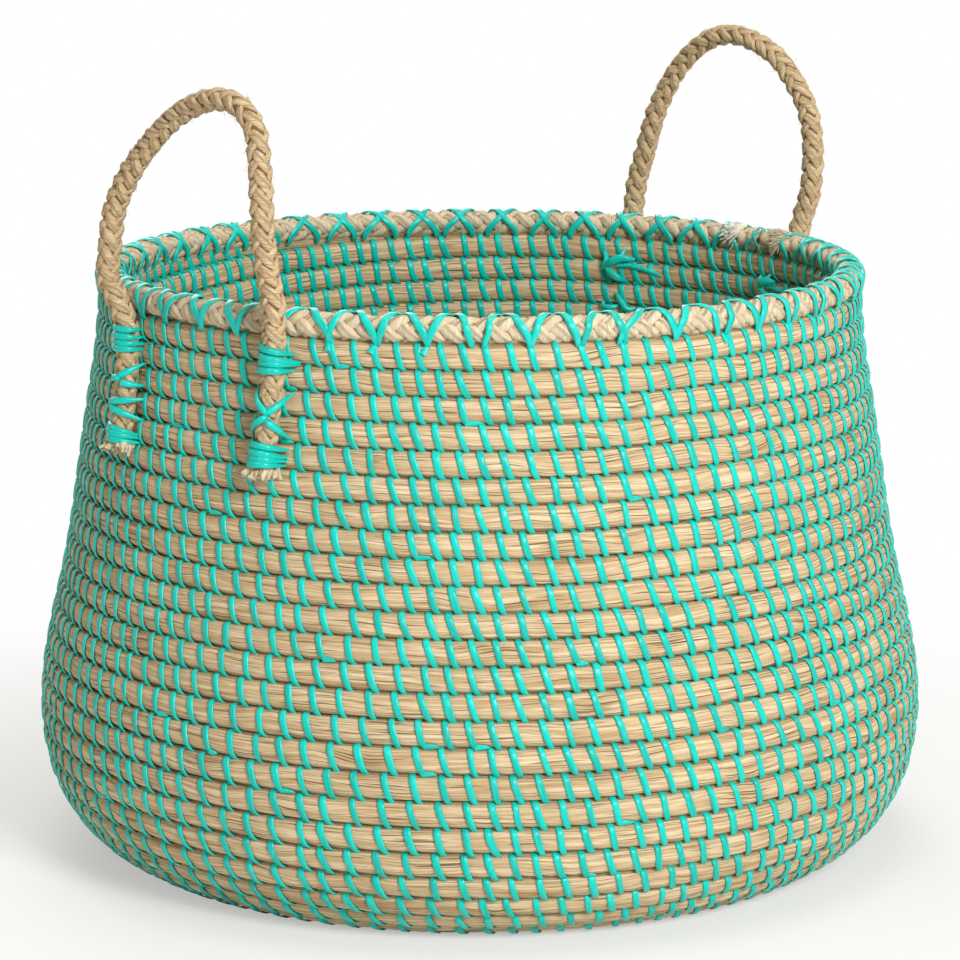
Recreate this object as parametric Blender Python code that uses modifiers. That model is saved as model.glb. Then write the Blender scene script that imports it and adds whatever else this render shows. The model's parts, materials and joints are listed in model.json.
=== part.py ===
"""A round belly basket coiled from seagrass, with a roped rim and two rope handles.

Metres, +Z up. The basket stands on its base coil at Z = 0, centred on the origin, with one handle
towards -X and the other towards +X. Each handle is a rope: its two legs are strapped to the wall
with plastic strip, and the arch between them bends at the rim.
"""
import math

import bmesh
import bpy
from mathutils import Matrix, Vector

# The coil: one seagrass bundle, wound side by side
coil_diameter = 0.0114
course_pitch = 0.0120
base_pitch = 0.0120
wall_courses = 24
mouth_radius = 0.1800
base_end_radius = 0.0075
loop_points = 24
tilt_deg = 30
fine_base_loops = 0.4
foot_cut_share = 0.1
foot_overrun = 0.0200
weld_distance = 0.00001
millimetres = 1000

# How the wall leans at a count of courses below the rim, outward positive, joined by arcs
wall_leans_deg = (
    (0, 3), (3, 10), (8, 8), (12.5, 14), (15, 9), (17, -1), (19, -15), (21, -38), (23, -65), (24, -90),
)

# Each course lies level and steps down to the next along this stretch of the back
step_end_deg = 150
step_deg = 120
step_growth_deg = 30
tip_start_share = 0.2
coil_butt_gap = 0.0004

# Rim rope and its lashing
rim_rope_diameter = 0.0130
rim_seat_gap = 0.00045
rim_butt_deg = -11
rim_butt_gap = 0.0008
rim_points = 60
lashing_count = 50
lashing_wrap_deg = 92
lashing_arm_steps = 4

# Plastic strip
strip_width = 0.0033
strip_thickness = 0.0008
strip_clearance = 0.0004

# Handle ropes
handle_rope_diameter = 0.0115
handle_skew_deg = 1.9
left_half_span_deg = 17.2
right_half_span_deg = 16.5
left_back_run_deg = 2.6
left_front_run_deg = -1.5
right_back_run_deg = 0
right_front_run_deg = 0
left_arch_height = 0.0900
right_arch_height = 0.0935
leg_wall_gap = 0.0004
leg_start_drop = -0.0014
leg_end_drop = 0.0580
leg_spans = 6
arch_joint_gap = 0.0003
inward_swing_deg = 60
swing_clearance = 0.0006
arch_steps = 2
arch_end_steps = 3
arch_tip_share = 0.05

# Lashings of the handle legs
band_wraps = 4
upper_band_drop = 0.0058
lower_band_drop = 0.0485
strap_end_gap = 0.0003
band_rib_depth = 0.0005
band_gather_share = 0.45
band_gather_reach = 0.0045
bend_steps = 6
lacing_lift = 0.0002
lacing_margin = 0.0045
knot_drop = 0.0120
knot_width = 0.0095
knot_height = 0.0070
knot_depth = 0.0055
knot_sides = 10

# The arches' outlines: (share of the half span, share of the height), from the +Y leg to the -Y leg
left_arch_shares = (
    (-1.0, 0.0), (-0.975, 0.16), (-0.955, 0.31), (-0.885, 0.43), (-0.715, 0.585), (-0.47, 0.74),
    (-0.17, 0.885), (0.14, 0.975), (0.42, 1.0), (0.65, 0.965), (0.79, 0.87), (0.85, 0.72), (0.87, 0.52),
    (0.91, 0.24), (1.0, 0.0),
)
right_arch_shares = (
    (-1.0, 0.0), (-0.965, 0.14), (-0.89, 0.27), (-0.81, 0.42), (-0.72, 0.56), (-0.56, 0.72), (-0.38, 0.85),
    (-0.12, 0.96), (0.16, 1.0), (0.46, 0.965), (0.72, 0.88), (0.93, 0.74), (1.07, 0.59), (1.12, 0.40),
    (1.10, 0.19), (1.0, 0.0),
)

coil_radius = coil_diameter / 2
coil_flat_radius = coil_radius * math.cos(math.radians(tilt_deg))
rim_rope_radius = rim_rope_diameter / 2
handle_radius = handle_rope_diameter / 2
foot_cut = coil_diameter * foot_cut_share
floor_centre = coil_radius - foot_cut
left_middle_deg = 180 - handle_skew_deg
right_middle_deg = handle_skew_deg

# Each handle: its +Y leg's azimuth and its -Y leg's, how far round they run on their way down the wall,
# its height and its outline
handles = (
    {
        "name": "left_handle",
        "legs_deg": (left_middle_deg - left_half_span_deg, left_middle_deg + left_half_span_deg),
        "runs_deg": (left_back_run_deg, left_front_run_deg),
        "height": left_arch_height,
        "shares": left_arch_shares,
    },
    {
        "name": "right_handle",
        "legs_deg": (right_middle_deg + right_half_span_deg, right_middle_deg - right_half_span_deg),
        "runs_deg": (right_back_run_deg, right_front_run_deg),
        "height": right_arch_height,
        "shares": right_arch_shares,
    },
)

straw = (0.66, 0.49, 0.29)
pale_rope = (0.76, 0.63, 0.47)
tan_rope = (0.55, 0.40, 0.26)
turquoise = (0.0, 0.60, 0.54)


def clear_scene():
    """Remove the objects that the file opens with."""
    for item in list(bpy.data.objects):
        bpy.data.objects.remove(item, do_unlink=True)


def material(name, colour, roughness):
    """Return a plain finish."""
    finish = bpy.data.materials.new(name)
    finish.use_nodes = True
    shader = finish.node_tree.nodes["Principled BSDF"]
    shader.inputs["Base Color"].default_value = (*colour, 1.0)
    shader.inputs["Roughness"].default_value = roughness
    shader.inputs["Metallic"].default_value = 0.0
    finish.diffuse_color = (*colour, 1.0)
    return finish


def wall_offset(course):
    """Return how far out and how far down a course's centre lies from the top course's centre."""
    out = 0.0
    down = 0.0
    for (first, lean_first), (last, lean_last) in zip(wall_leans_deg, wall_leans_deg[1:]):
        span = min(course, last) - first
        if span <= 0 < first:
            break
        start = math.radians(lean_first)
        turn = math.radians(lean_last - lean_first) / (last - first)
        end = start + turn * span
        if abs(turn) > 1e-9:
            out += course_pitch * (math.cos(start) - math.cos(end)) / turn
            down += course_pitch * (math.sin(end) - math.sin(start)) / turn
        else:
            out += course_pitch * math.sin(start) * span
            down += course_pitch * math.cos(start) * span
    return out, down


def wall_lean(course):
    """Return the wall's lean at a course, in radians."""
    for (first, lean_first), (last, lean_last) in zip(wall_leans_deg, wall_leans_deg[1:]):
        if course <= last:
            share = (course - first) / (last - first)
            return math.radians(lean_first + (lean_last - lean_first) * max(share, 0))
    return math.radians(wall_leans_deg[-1][1])


top_course_height = floor_centre + wall_offset(wall_courses)[1]
foot_radius = mouth_radius + wall_offset(wall_courses)[0]
rim_rope_height = top_course_height + coil_radius + rim_seat_gap + rim_rope_radius
leg_to_wall = coil_radius + leg_wall_gap + handle_radius
lashing_bend = math.radians(lashing_wrap_deg / lashing_arm_steps) + strip_width / rim_rope_radius / 4
lashing_radius = (rim_rope_radius + strip_clearance) / math.cos(lashing_bend)
leg_to_rim = lashing_radius + strip_thickness + strip_clearance + handle_radius
swing_lift = leg_to_rim * math.tan(math.radians(inward_swing_deg / 2)) + swing_clearance
pivot_radius = mouth_radius + leg_to_rim
pivot_height = rim_rope_height + swing_lift


def course_centre(course):
    """Return the radius and height of the coil's centre at a course, on the wall or past it on the base."""
    if course > wall_courses:
        return foot_radius - base_pitch * (course - wall_courses), floor_centre
    out, down = wall_offset(course)
    return mouth_radius + out, top_course_height - down


def polar(radius, degrees, height):
    """Return a point from its radius, azimuth and height."""
    angle = math.radians(degrees)
    return Vector((radius * math.cos(angle), radius * math.sin(angle), height))


def coil_point(turned_deg):
    """Return the coil's centre after it has turned so far from the start of the top course."""
    loop = int(turned_deg // 360)
    rest = turned_deg - 360 * loop
    step = min(step_deg + step_growth_deg * max(loop - wall_courses + 1, 0), 360)
    stepped = max(rest - (360 - step), 0) / step
    radius, height = course_centre(loop + stepped)
    return polar(radius, step_end_deg + turned_deg, height)


def facet_middle(degrees):
    """Return the azimuth in the middle of the coil's straight facet at an azimuth."""
    facet_deg = 360 / loop_points
    return (math.floor((degrees - step_end_deg) / facet_deg) + 0.5) * facet_deg + step_end_deg


def wall_frame(degrees, drop, away):
    """Return a frame at an azimuth, a drop down the wall and a distance out from the coil's centre.

    Its X axis runs along the wall, its Y axis points into the wall and its Z axis up the wall's slope.
    """
    course = drop / course_pitch
    lean = wall_lean(course)
    radius, height = course_centre(course)
    middle = facet_middle(degrees)
    flat = radius * math.cos(math.radians(180 / loop_points)) + away * math.cos(lean)
    place = polar(flat / math.cos(math.radians(degrees - middle)), degrees, height + away * math.sin(lean))
    along = polar(1, middle + 90, 0.0)
    out = polar(math.cos(lean), middle, math.sin(lean))
    frame = Matrix((along, -out, along.cross(-out))).transposed().to_4x4()
    frame.translation = place
    return frame


def link(item, collection):
    """Put an object in a collection."""
    collection.objects.link(item)
    return item


def tube(name, points, radius, collection, shares=None, tilts=None, resolution=2):
    """Return a tube along the points, its ends filled, with shares of its radius and tilts of its sides."""
    curve = bpy.data.curves.new(name, "CURVE")
    curve.dimensions = "3D"
    curve.bevel_depth = radius
    curve.bevel_resolution = resolution
    curve.use_fill_caps = True
    curve.resolution_u = 1
    curve.render_resolution_u = 0
    curve.twist_mode = "Z_UP" if tilts else "MINIMUM"
    spline = curve.splines.new("POLY")
    spline.points.add(len(points) - 1)
    for place, point in enumerate(points):
        spline.points[place].co = (*point, 1.0)
        spline.points[place].radius = shares[place] if shares else 1.0
        spline.points[place].tilt = tilts[place] if tilts else 0.0
    spline.use_smooth = True
    return link(bpy.data.objects.new(name, curve), collection)


def as_mesh(item, collection):
    """Turn a curve object into a mesh object with welded ends."""
    bpy.context.view_layer.update()
    seen = item.evaluated_get(bpy.context.evaluated_depsgraph_get())
    mesh = bpy.data.meshes.new_from_object(seen)
    name = item.name
    place = item.matrix_world.copy()
    bpy.data.objects.remove(item, do_unlink=True)
    work = bmesh.new()
    work.from_mesh(mesh)
    bmesh.ops.remove_doubles(work, verts=work.verts, dist=weld_distance)
    work.to_mesh(mesh)
    work.free()
    made = link(bpy.data.objects.new(name, mesh), collection)
    made.matrix_world = place
    return made


def strap(name, rows, collection, closed=False):
    """Return a strip of plastic: an open sheet through rows of points, thickened outward."""
    work = bmesh.new()
    grid = [[work.verts.new(point) for point in row] for row in rows]
    for place in range(len(grid) if closed else len(grid) - 1):
        row = grid[place]
        after = grid[(place + 1) % len(grid)]
        for side in range(len(row) - 1):
            work.faces.new((row[side], row[side + 1], after[side + 1], after[side]))
    mesh = bpy.data.meshes.new(name)
    work.to_mesh(mesh)
    work.free()
    sheet = link(bpy.data.objects.new(name, mesh), collection)
    solid = sheet.modifiers.new("thickness", "SOLIDIFY")
    solid.thickness = strip_thickness
    solid.offset = 1.0
    return sheet


def as_guide(item, cutters):
    """Keep an object as a cutter only."""
    for home in list(item.users_collection):
        home.objects.unlink(item)
    link(item, cutters)
    item.hide_render = True
    item.display_type = "WIRE"


def least_gap(points, shares=None):
    """Return the least gap of a wound tube to itself, from its points to its other loops' straight runs."""
    least = mouth_radius
    skip = loop_points // 4
    for place, point in enumerate(points):
        own = coil_radius * (shares[place] if shares else 1.0)
        for other in range(place + skip, len(points) - 1):
            start = points[other]
            run = points[other + 1] - start
            along = max(0.0, min(1.0, (point - start).dot(run) / run.length_squared))
            thick = coil_radius * (shares[other] if shares else 1.0)
            least = min(least, (point - start - run * along).length - own - thick)
    return least


def side_tilt(course):
    """Return the tilt that turns the coil's corners towards its neighbours above and below."""
    return math.radians(tilt_deg) - wall_lean(course)


def butt_ends():
    """Return where the wall's coil ends and the base's starts, face to face in the middle of a facet."""
    turned = 360 * wall_courses - step_deg
    before = coil_point(turned)
    after = coil_point(turned + 360 / loop_points)
    middle = (before + after) / 2
    half_gap = (after - before).normalized() * coil_butt_gap / 2
    return middle - half_gap, middle + half_gap


def build_wall(collection):
    """Wind the wall: 24 courses, with the bundle's end tapered off in the step under the rim rope."""
    point_deg = 360 / loop_points
    points = []
    shares = []
    tilts = []
    for place in range(round(step_deg / point_deg)):
        share = place * point_deg / step_deg
        if share >= tip_start_share:
            height = top_course_height + course_pitch * (1 - share) / 2
            points.append(polar(mouth_radius, step_end_deg - step_deg + place * point_deg, height))
            shares.append((coil_diameter - course_pitch * (1 - share)) / coil_diameter)
            tilts.append(side_tilt(0))
    for place in range(round((360 * wall_courses - step_deg) / point_deg) + 1):
        points.append(coil_point(place * point_deg))
        shares.append(1.0)
        tilts.append(side_tilt(place * point_deg / 360))
    points.append(butt_ends()[0])
    shares.append(1.0)
    tilts.append(side_tilt(wall_courses))
    print(f"least gap of wall_coil: {least_gap(points, shares) * millimetres:.2f} mm")
    return tube("wall_coil", points, coil_radius, collection, shares, tilts, resolution=1)


def base_turns():
    """Return how far the coil has turned at each point of the base."""
    point_deg = 360 / loop_points
    turned = 360 * wall_courses - step_deg
    turns = []
    while True:
        fine = turned < 360 * (wall_courses + fine_base_loops)
        turned += point_deg if fine else 2 * point_deg
        if foot_radius - base_pitch * (turned / 360 - wall_courses) < base_end_radius:
            return turns
        turns.append(turned)


def build_base(collection, cutters):
    """Wind the flat base inward from where the wall ends."""
    points = [butt_ends()[1]] + [coil_point(turned) for turned in base_turns()]
    print(f"least gap of base_coil: {least_gap(points) * millimetres:.2f} mm")
    tilts = [side_tilt(wall_courses)] * len(points)
    base = as_mesh(tube("base_coil", points, coil_radius, collection, tilts=tilts, resolution=1), collection)
    cutter_radius = foot_radius + foot_overrun
    cutter_place = (0.0, 0.0, -foot_overrun / 2)
    bpy.ops.mesh.primitive_cylinder_add(
        vertices=loop_points, radius=cutter_radius, depth=foot_overrun, location=cutter_place
    )
    cutter = bpy.context.active_object
    cutter.name = "floor_cutter"
    as_guide(cutter, cutters)
    cut = base.modifiers.new("flat foot", "BOOLEAN")
    cut.operation = "DIFFERENCE"
    cut.object = cutter
    return base


def build_rim_rope(collection):
    """Lay the rim rope on the top course, with its two ends butted."""
    butt_deg = math.degrees(rim_butt_gap / mouth_radius)
    points = []
    for place in range(rim_points + 1):
        degrees = rim_butt_deg + butt_deg / 2 + (360 - butt_deg) * place / rim_points
        points.append(polar(mouth_radius, degrees, rim_rope_height))
    return tube("rim_rope", points, rim_rope_radius, collection)


def build_rim_lashing(collection):
    """Lace one strip over the rim rope in a zigzag between its outer and inner lower edges."""
    reach = lashing_radius * math.radians(lashing_wrap_deg)
    arm_length = math.pi * mouth_radius / lashing_count
    slope = math.hypot(2 * reach, arm_length)
    rows = []
    for arm in range(2 * lashing_count):
        way = (-1) ** arm
        for place in range(lashing_arm_steps):
            share = place / lashing_arm_steps
            row = []
            for side in (-strip_width / 2, strip_width / 2):
                turned = place > 0
                along = (arm + share) * arm_length + turned * way * side * 2 * reach / slope
                across = way * reach * (1 - 2 * share) + side * (arm_length / slope if turned else 1)
                wrap = across / lashing_radius
                radius = mouth_radius + lashing_radius * math.sin(wrap)
                height = rim_rope_height + lashing_radius * math.cos(wrap)
                row.append(polar(radius, math.degrees(along / mouth_radius), height))
            rows.append(row)
    return strap("rim_lashing", rows, collection, closed=True)


def smooth_route(points, steps):
    """Return points on a smooth curve through the given points."""
    route = []
    for place in range(len(points) - 1):
        before = points[max(place - 1, 0)]
        start = points[place]
        end = points[place + 1]
        after = points[min(place + 2, len(points) - 1)]
        for step in range(steps):
            share = step / steps
            ease = share * share * (3 - 2 * share)
            pull_in = share * (1 - share) ** 2 / 2
            pull_out = share * share * (1 - share) / 2
            pulls = (end - before) * pull_in - (after - start) * pull_out
            route.append(start + (end - start) * ease + pulls)
    return route + [points[-1]]


def build_arch(side, collection):
    """Bend a handle's free arch, hung from an empty on the line that it swings about."""
    back = polar(pivot_radius, side["legs_deg"][0], pivot_height)
    front = polar(pivot_radius, side["legs_deg"][1], pivot_height)
    along = (front - back).normalized()
    up = Vector((0.0, 0.0, 1.0))
    frame = Matrix((along, up.cross(along), up)).transposed().to_4x4()
    frame.translation = (back + front) / 2
    pivot = link(bpy.data.objects.new(f"{side['name']}_pivot", None), collection)
    pivot.empty_display_size = handle_rope_diameter
    pivot.matrix_world = frame
    half_span = (front - back).length / 2
    corners = [Vector((half_span * across, 0.0, side["height"] * rise)) for across, rise in side["shares"]]
    route = smooth_route(corners, arch_steps)
    shares = [1.0] * len(route)
    for place in range(arch_end_steps):
        angle = math.radians(90 * (place + 1) / arch_end_steps)
        lower = Vector((0.0, 0.0, -handle_radius * math.sin(angle)))
        route = [corners[0] + lower] + route + [corners[-1] + lower]
        thin = max(math.cos(angle), arch_tip_share)
        shares = [thin] + shares + [thin]
    arch = tube(side["name"], route, handle_radius, collection, shares)
    arch.parent = pivot
    return arch


def leg_azimuth(degrees, run_deg, drop):
    """Return a leg's azimuth at a drop down the wall."""
    return degrees + run_deg * (drop - leg_start_drop) / (leg_end_drop - leg_start_drop)


def leg_slant(run_deg):
    """Return the angle between a leg and the wall's slope."""
    return math.atan2(pivot_radius * math.radians(run_deg), leg_end_drop - leg_start_drop)


def build_leg(name, degrees, run_deg, collection):
    """Run a handle rope's end down the outside of the rim and the wall."""
    points = [
        polar(pivot_radius, degrees, pivot_height - handle_radius - arch_joint_gap),
        polar(pivot_radius, degrees, rim_rope_height),
    ]
    for place in range(leg_spans + 1):
        drop = leg_start_drop + (leg_end_drop - leg_start_drop) * place / leg_spans
        points.append(wall_frame(leg_azimuth(degrees, run_deg, drop), drop, leg_to_wall).translation)
    return tube(name, points, handle_radius, collection)


def bend_path(inner, reach=0.0):
    """Return a strap's path round a leg: up one side, over and down the other to the wall."""
    wall = leg_to_wall - coil_flat_radius - strap_end_gap
    path = [Vector((-inner, wall))]
    for place in range(bend_steps + 1):
        angle = math.pi * place / bend_steps
        path.append(Vector((-inner * math.cos(angle), -inner * math.sin(angle))))
    return path + [Vector((inner + reach, wall))]


def band_mesh(collection):
    """Return the ribbed band that four wraps of strip make, gathered into a groove at one end."""
    path = bend_path(handle_radius + strip_clearance, band_gather_reach)
    rows = []
    for place, point in enumerate(path):
        last = place == len(path) - 1
        squeeze = band_gather_share if last else 1.0
        before = path[max(place - 1, 0)]
        after = path[min(place + 1, len(path) - 1)]
        run = (after - before).normalized()
        row = []
        for line in range(2 * band_wraps + 1):
            height = (line / 2 - band_wraps / 2) * strip_width * squeeze
            rib = band_rib_depth * (line % 2)
            row.append(Vector((point.x + run.y * rib, point.y - run.x * rib, -height)))
        rows.append(row)
    return as_mesh(strap("band", rows, collection), collection)


def lacing_mesh(collection, cutters):
    """Return the X that two crossed strips make over a leg, joined where they cross."""
    length = lower_band_drop - upper_band_drop - band_wraps * strip_width - 2 * lacing_margin
    strips = []
    for side in (-1, 1):
        path = bend_path(handle_radius + strip_clearance + (lacing_lift if side > 0 else 0.0))
        runs = [0.0]
        for before, after in zip(path, path[1:]):
            runs.append(runs[-1] + (after - before).length)
        shift = strip_width / 2 * math.hypot(length, runs[-1]) / runs[-1]
        rows = []
        for point, run in zip(path, runs):
            middle = side * length * (run / runs[-1] - 0.5)
            rows.append([Vector((*point, middle + shift)), Vector((*point, middle - shift))])
        strips.append(strap("lacing", rows, collection))
    as_guide(strips[1], cutters)
    cross = strips[0].modifiers.new("cross", "BOOLEAN")
    cross.operation = "UNION"
    cross.object = strips[1]
    return as_mesh(strips[0], collection)


def build_lashings(name, degrees, run_deg, patterns, collection):
    """Strap a leg to the wall: two bands, the lacing between them and the knot inside."""
    middle_drop = (upper_band_drop + lower_band_drop) / 2
    places = {
        "upper_band": (patterns["band"], upper_band_drop, leg_to_wall),
        "lower_band": (patterns["band"], lower_band_drop, leg_to_wall),
        "lacing": (patterns["lacing"], middle_drop, leg_to_wall),
        "tie_knot": (patterns["knot"], knot_drop, -coil_flat_radius - strip_clearance - knot_depth / 2),
    }
    made = []
    for part, (mesh, drop, away) in places.items():
        piece = link(bpy.data.objects.new(f"{name}_{part}", mesh), collection)
        place = wall_frame(leg_azimuth(degrees, run_deg, drop), drop, away)
        piece.matrix_world = place @ Matrix.Rotation(-leg_slant(run_deg), 4, "Y")
        made.append(piece)
    return made


def knot_mesh():
    """Return the flattened lump of a tied-off strip."""
    work = bmesh.new()
    size = Matrix.Diagonal((knot_width / 2, knot_depth / 2, knot_height / 2, 1))
    bmesh.ops.create_uvsphere(work, u_segments=knot_sides, v_segments=knot_sides // 2, radius=1, matrix=size)
    mesh = bpy.data.meshes.new("knot")
    work.to_mesh(mesh)
    work.free()
    return mesh


def finish(piece, coat):
    """Give a piece its finish and shade it smooth."""
    if not piece.data.materials:
        piece.data.materials.append(coat)
    if piece.type == "MESH":
        piece.data.shade_smooth()
        piece.data.set_sharp_from_angle(angle=math.radians(50))


def build_basket():
    """Build the basket."""
    clear_scene()
    parts = bpy.data.collections.new("belly_basket")
    cutters = bpy.data.collections.new("cutters")
    bpy.context.scene.collection.children.link(parts)
    bpy.context.scene.collection.children.link(cutters)
    bundle = material("seagrass", straw, 0.75)
    pale = material("rim_rope", pale_rope, 0.9)
    tan = material("handle_rope", tan_rope, 0.95)
    plastic = material("plastic_strip", turquoise, 0.3)

    finish(build_wall(parts), bundle)
    finish(build_base(parts, cutters), bundle)
    finish(build_rim_rope(parts), pale)
    finish(build_rim_lashing(parts), plastic)

    band = band_mesh(parts)
    lacing = lacing_mesh(parts, cutters)
    patterns = {"band": band.data, "lacing": lacing.data, "knot": knot_mesh()}
    bpy.data.objects.remove(band, do_unlink=True)
    bpy.data.objects.remove(lacing, do_unlink=True)
    for side in handles:
        finish(build_arch(side, parts), tan)
        for place, degrees, run_deg in zip(("back", "front"), side["legs_deg"], side["runs_deg"]):
            name = f"{side['name']}_{place}"
            finish(build_leg(f"{name}_leg", degrees, run_deg, parts), tan)
            for piece in build_lashings(name, degrees, run_deg, patterns, parts):
                finish(piece, plastic)


build_basket()
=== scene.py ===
"""The looks of a round belly basket: coiled seagrass, plastic strip, a laced rope rim and rope handles.

Metres, +Z up. The coil starts at the top course and winds down the wall and in under the base, and every
piece of it is placed by how far the coil has turned, how far out it lies and how far up the wall's slope.
"""
import json
import logging
import math
from dataclasses import dataclass, field
from enum import Enum

import bpy
import numpy as np
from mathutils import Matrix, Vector


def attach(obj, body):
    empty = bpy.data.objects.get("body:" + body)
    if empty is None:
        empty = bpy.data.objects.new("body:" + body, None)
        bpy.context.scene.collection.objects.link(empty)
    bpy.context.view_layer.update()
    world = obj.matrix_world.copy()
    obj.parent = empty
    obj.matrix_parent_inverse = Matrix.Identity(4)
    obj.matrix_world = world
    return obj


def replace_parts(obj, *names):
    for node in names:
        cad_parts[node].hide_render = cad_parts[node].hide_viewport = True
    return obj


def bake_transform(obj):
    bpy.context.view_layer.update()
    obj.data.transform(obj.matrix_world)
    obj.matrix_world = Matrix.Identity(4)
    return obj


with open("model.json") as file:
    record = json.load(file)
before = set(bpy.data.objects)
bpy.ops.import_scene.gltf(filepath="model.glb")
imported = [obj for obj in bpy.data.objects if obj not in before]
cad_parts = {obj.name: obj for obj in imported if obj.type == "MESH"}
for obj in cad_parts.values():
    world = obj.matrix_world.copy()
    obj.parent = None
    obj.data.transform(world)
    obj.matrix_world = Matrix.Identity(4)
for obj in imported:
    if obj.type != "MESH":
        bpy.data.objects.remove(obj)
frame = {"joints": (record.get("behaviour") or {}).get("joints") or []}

log = logging.getLogger("belly_basket")
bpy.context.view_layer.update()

Array = np.ndarray
Colour = tuple[float, float, float]
# Rings of points and, in the same shape, their fibre coordinates.
Laid = tuple[Array, Array]


def smooth(share: Array) -> Array:
    """Ease shares from 0 to 1 in and out."""
    share = np.clip(share, 0.0, 1.0)
    return share * share * (3 - 2 * share)


def unit(vectors: Array) -> Array:
    """Scale vectors to length one."""
    return vectors / np.maximum(np.linalg.norm(vectors, axis=-1, keepdims=True), 1e-12)


def joined(*coordinates: Array | float) -> Array:
    """Return points from their coordinates, each of them a number or an array."""
    return np.stack(np.broadcast_arrays(*coordinates), -1)


def polar(radius: Array, degrees: Array, height: Array) -> Array:
    """Return points from their radius, azimuth and height."""
    angle = np.radians(degrees)
    return joined(radius * np.cos(angle), radius * np.sin(angle), height)


def square_to(vectors: Array, axes: Array) -> Array:
    """Return the directions of vectors without the part of each that runs along its axis."""
    return unit(vectors - (vectors * axes).sum(-1, keepdims=True) * axes)


def arc_lengths(points: Array) -> Array:
    """Return how far along a line of points each one lies."""
    runs = np.linalg.norm(np.diff(points, axis=0), axis=1)
    return np.concatenate([[0.0], np.cumsum(runs)])


def bell(offset: Array) -> Array:
    """Return 1 at an offset of 0, falling away smoothly on both sides of it."""
    return np.exp(-(offset ** 2))


def lifted(points: Array, least: float = 0.0) -> Array:
    """Lift the points that lie below a height up to it."""
    points[..., 2] = np.maximum(points[..., 2], least)
    return points


def noise_along(places: Array, knots: Array) -> Array:
    """Return values at places, where knots gives one at each whole number."""
    return np.interp(places, np.arange(len(knots)), knots)


def curve_through(corners: Array, step: float, fineness: int = 24) -> Array:
    """Run a smooth curve through corners.

    Args:
        corners: The points that the curve passes, in order.
        step: The distance between the points returned.
        fineness: How many points are worked out between two corners.

    Returns:
        Points on the curve, evenly spaced.
    """
    ends = np.vstack([2 * corners[0] - corners[1], corners, 2 * corners[-1] - corners[-2]])
    share = np.linspace(0, 1, fineness, endpoint=False)[:, None]
    runs = []
    for before, start, end, after in zip(ends, ends[1:], ends[2:], ends[3:]):
        pull_in, pull_out = (end - before) / 2, (after - start) / 2
        runs.append(
            start + share * pull_in
            + share ** 2 * (3 * (end - start) - 2 * pull_in - pull_out)
            + share ** 3 * (2 * (start - end) + pull_in + pull_out)
        )
    dense = np.vstack(runs + [corners[-1:]])
    along = arc_lengths(dense)
    places = np.linspace(0, along[-1], max(int(along[-1] / step), 2) + 1)
    return np.stack([np.interp(places, along, dense[:, axis]) for axis in range(3)], -1)


class Slot(Enum):
    """The record's material slots."""

    SEAGRASS = "seagrass"
    RIM_ROPE = "rim_rope"
    HANDLE_ROPE = "handle_rope"
    PLASTIC = "plastic_strip"


# The layout of a piece in the bake's map. Its tubes take the lower share and the caps of their ends the rest.
TUBES_SHARE, CAPS_MIDDLE, CAP_WIDTH, CAP_HEIGHT = 0.98, 0.99, 0.4, 0.008
# A tube is cut into cells at most so many times longer than wide, and each cell keeps a margin round it.
LONGEST_CELL = 16
CELL_LENGTH, CELL_HEIGHT = 0.94, 0.92
MARGIN_LENGTH, MARGIN_HEIGHT = 0.03, 0.04
# Edges sharper than this stay sharp.
SHARP_DEG = 62


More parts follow.
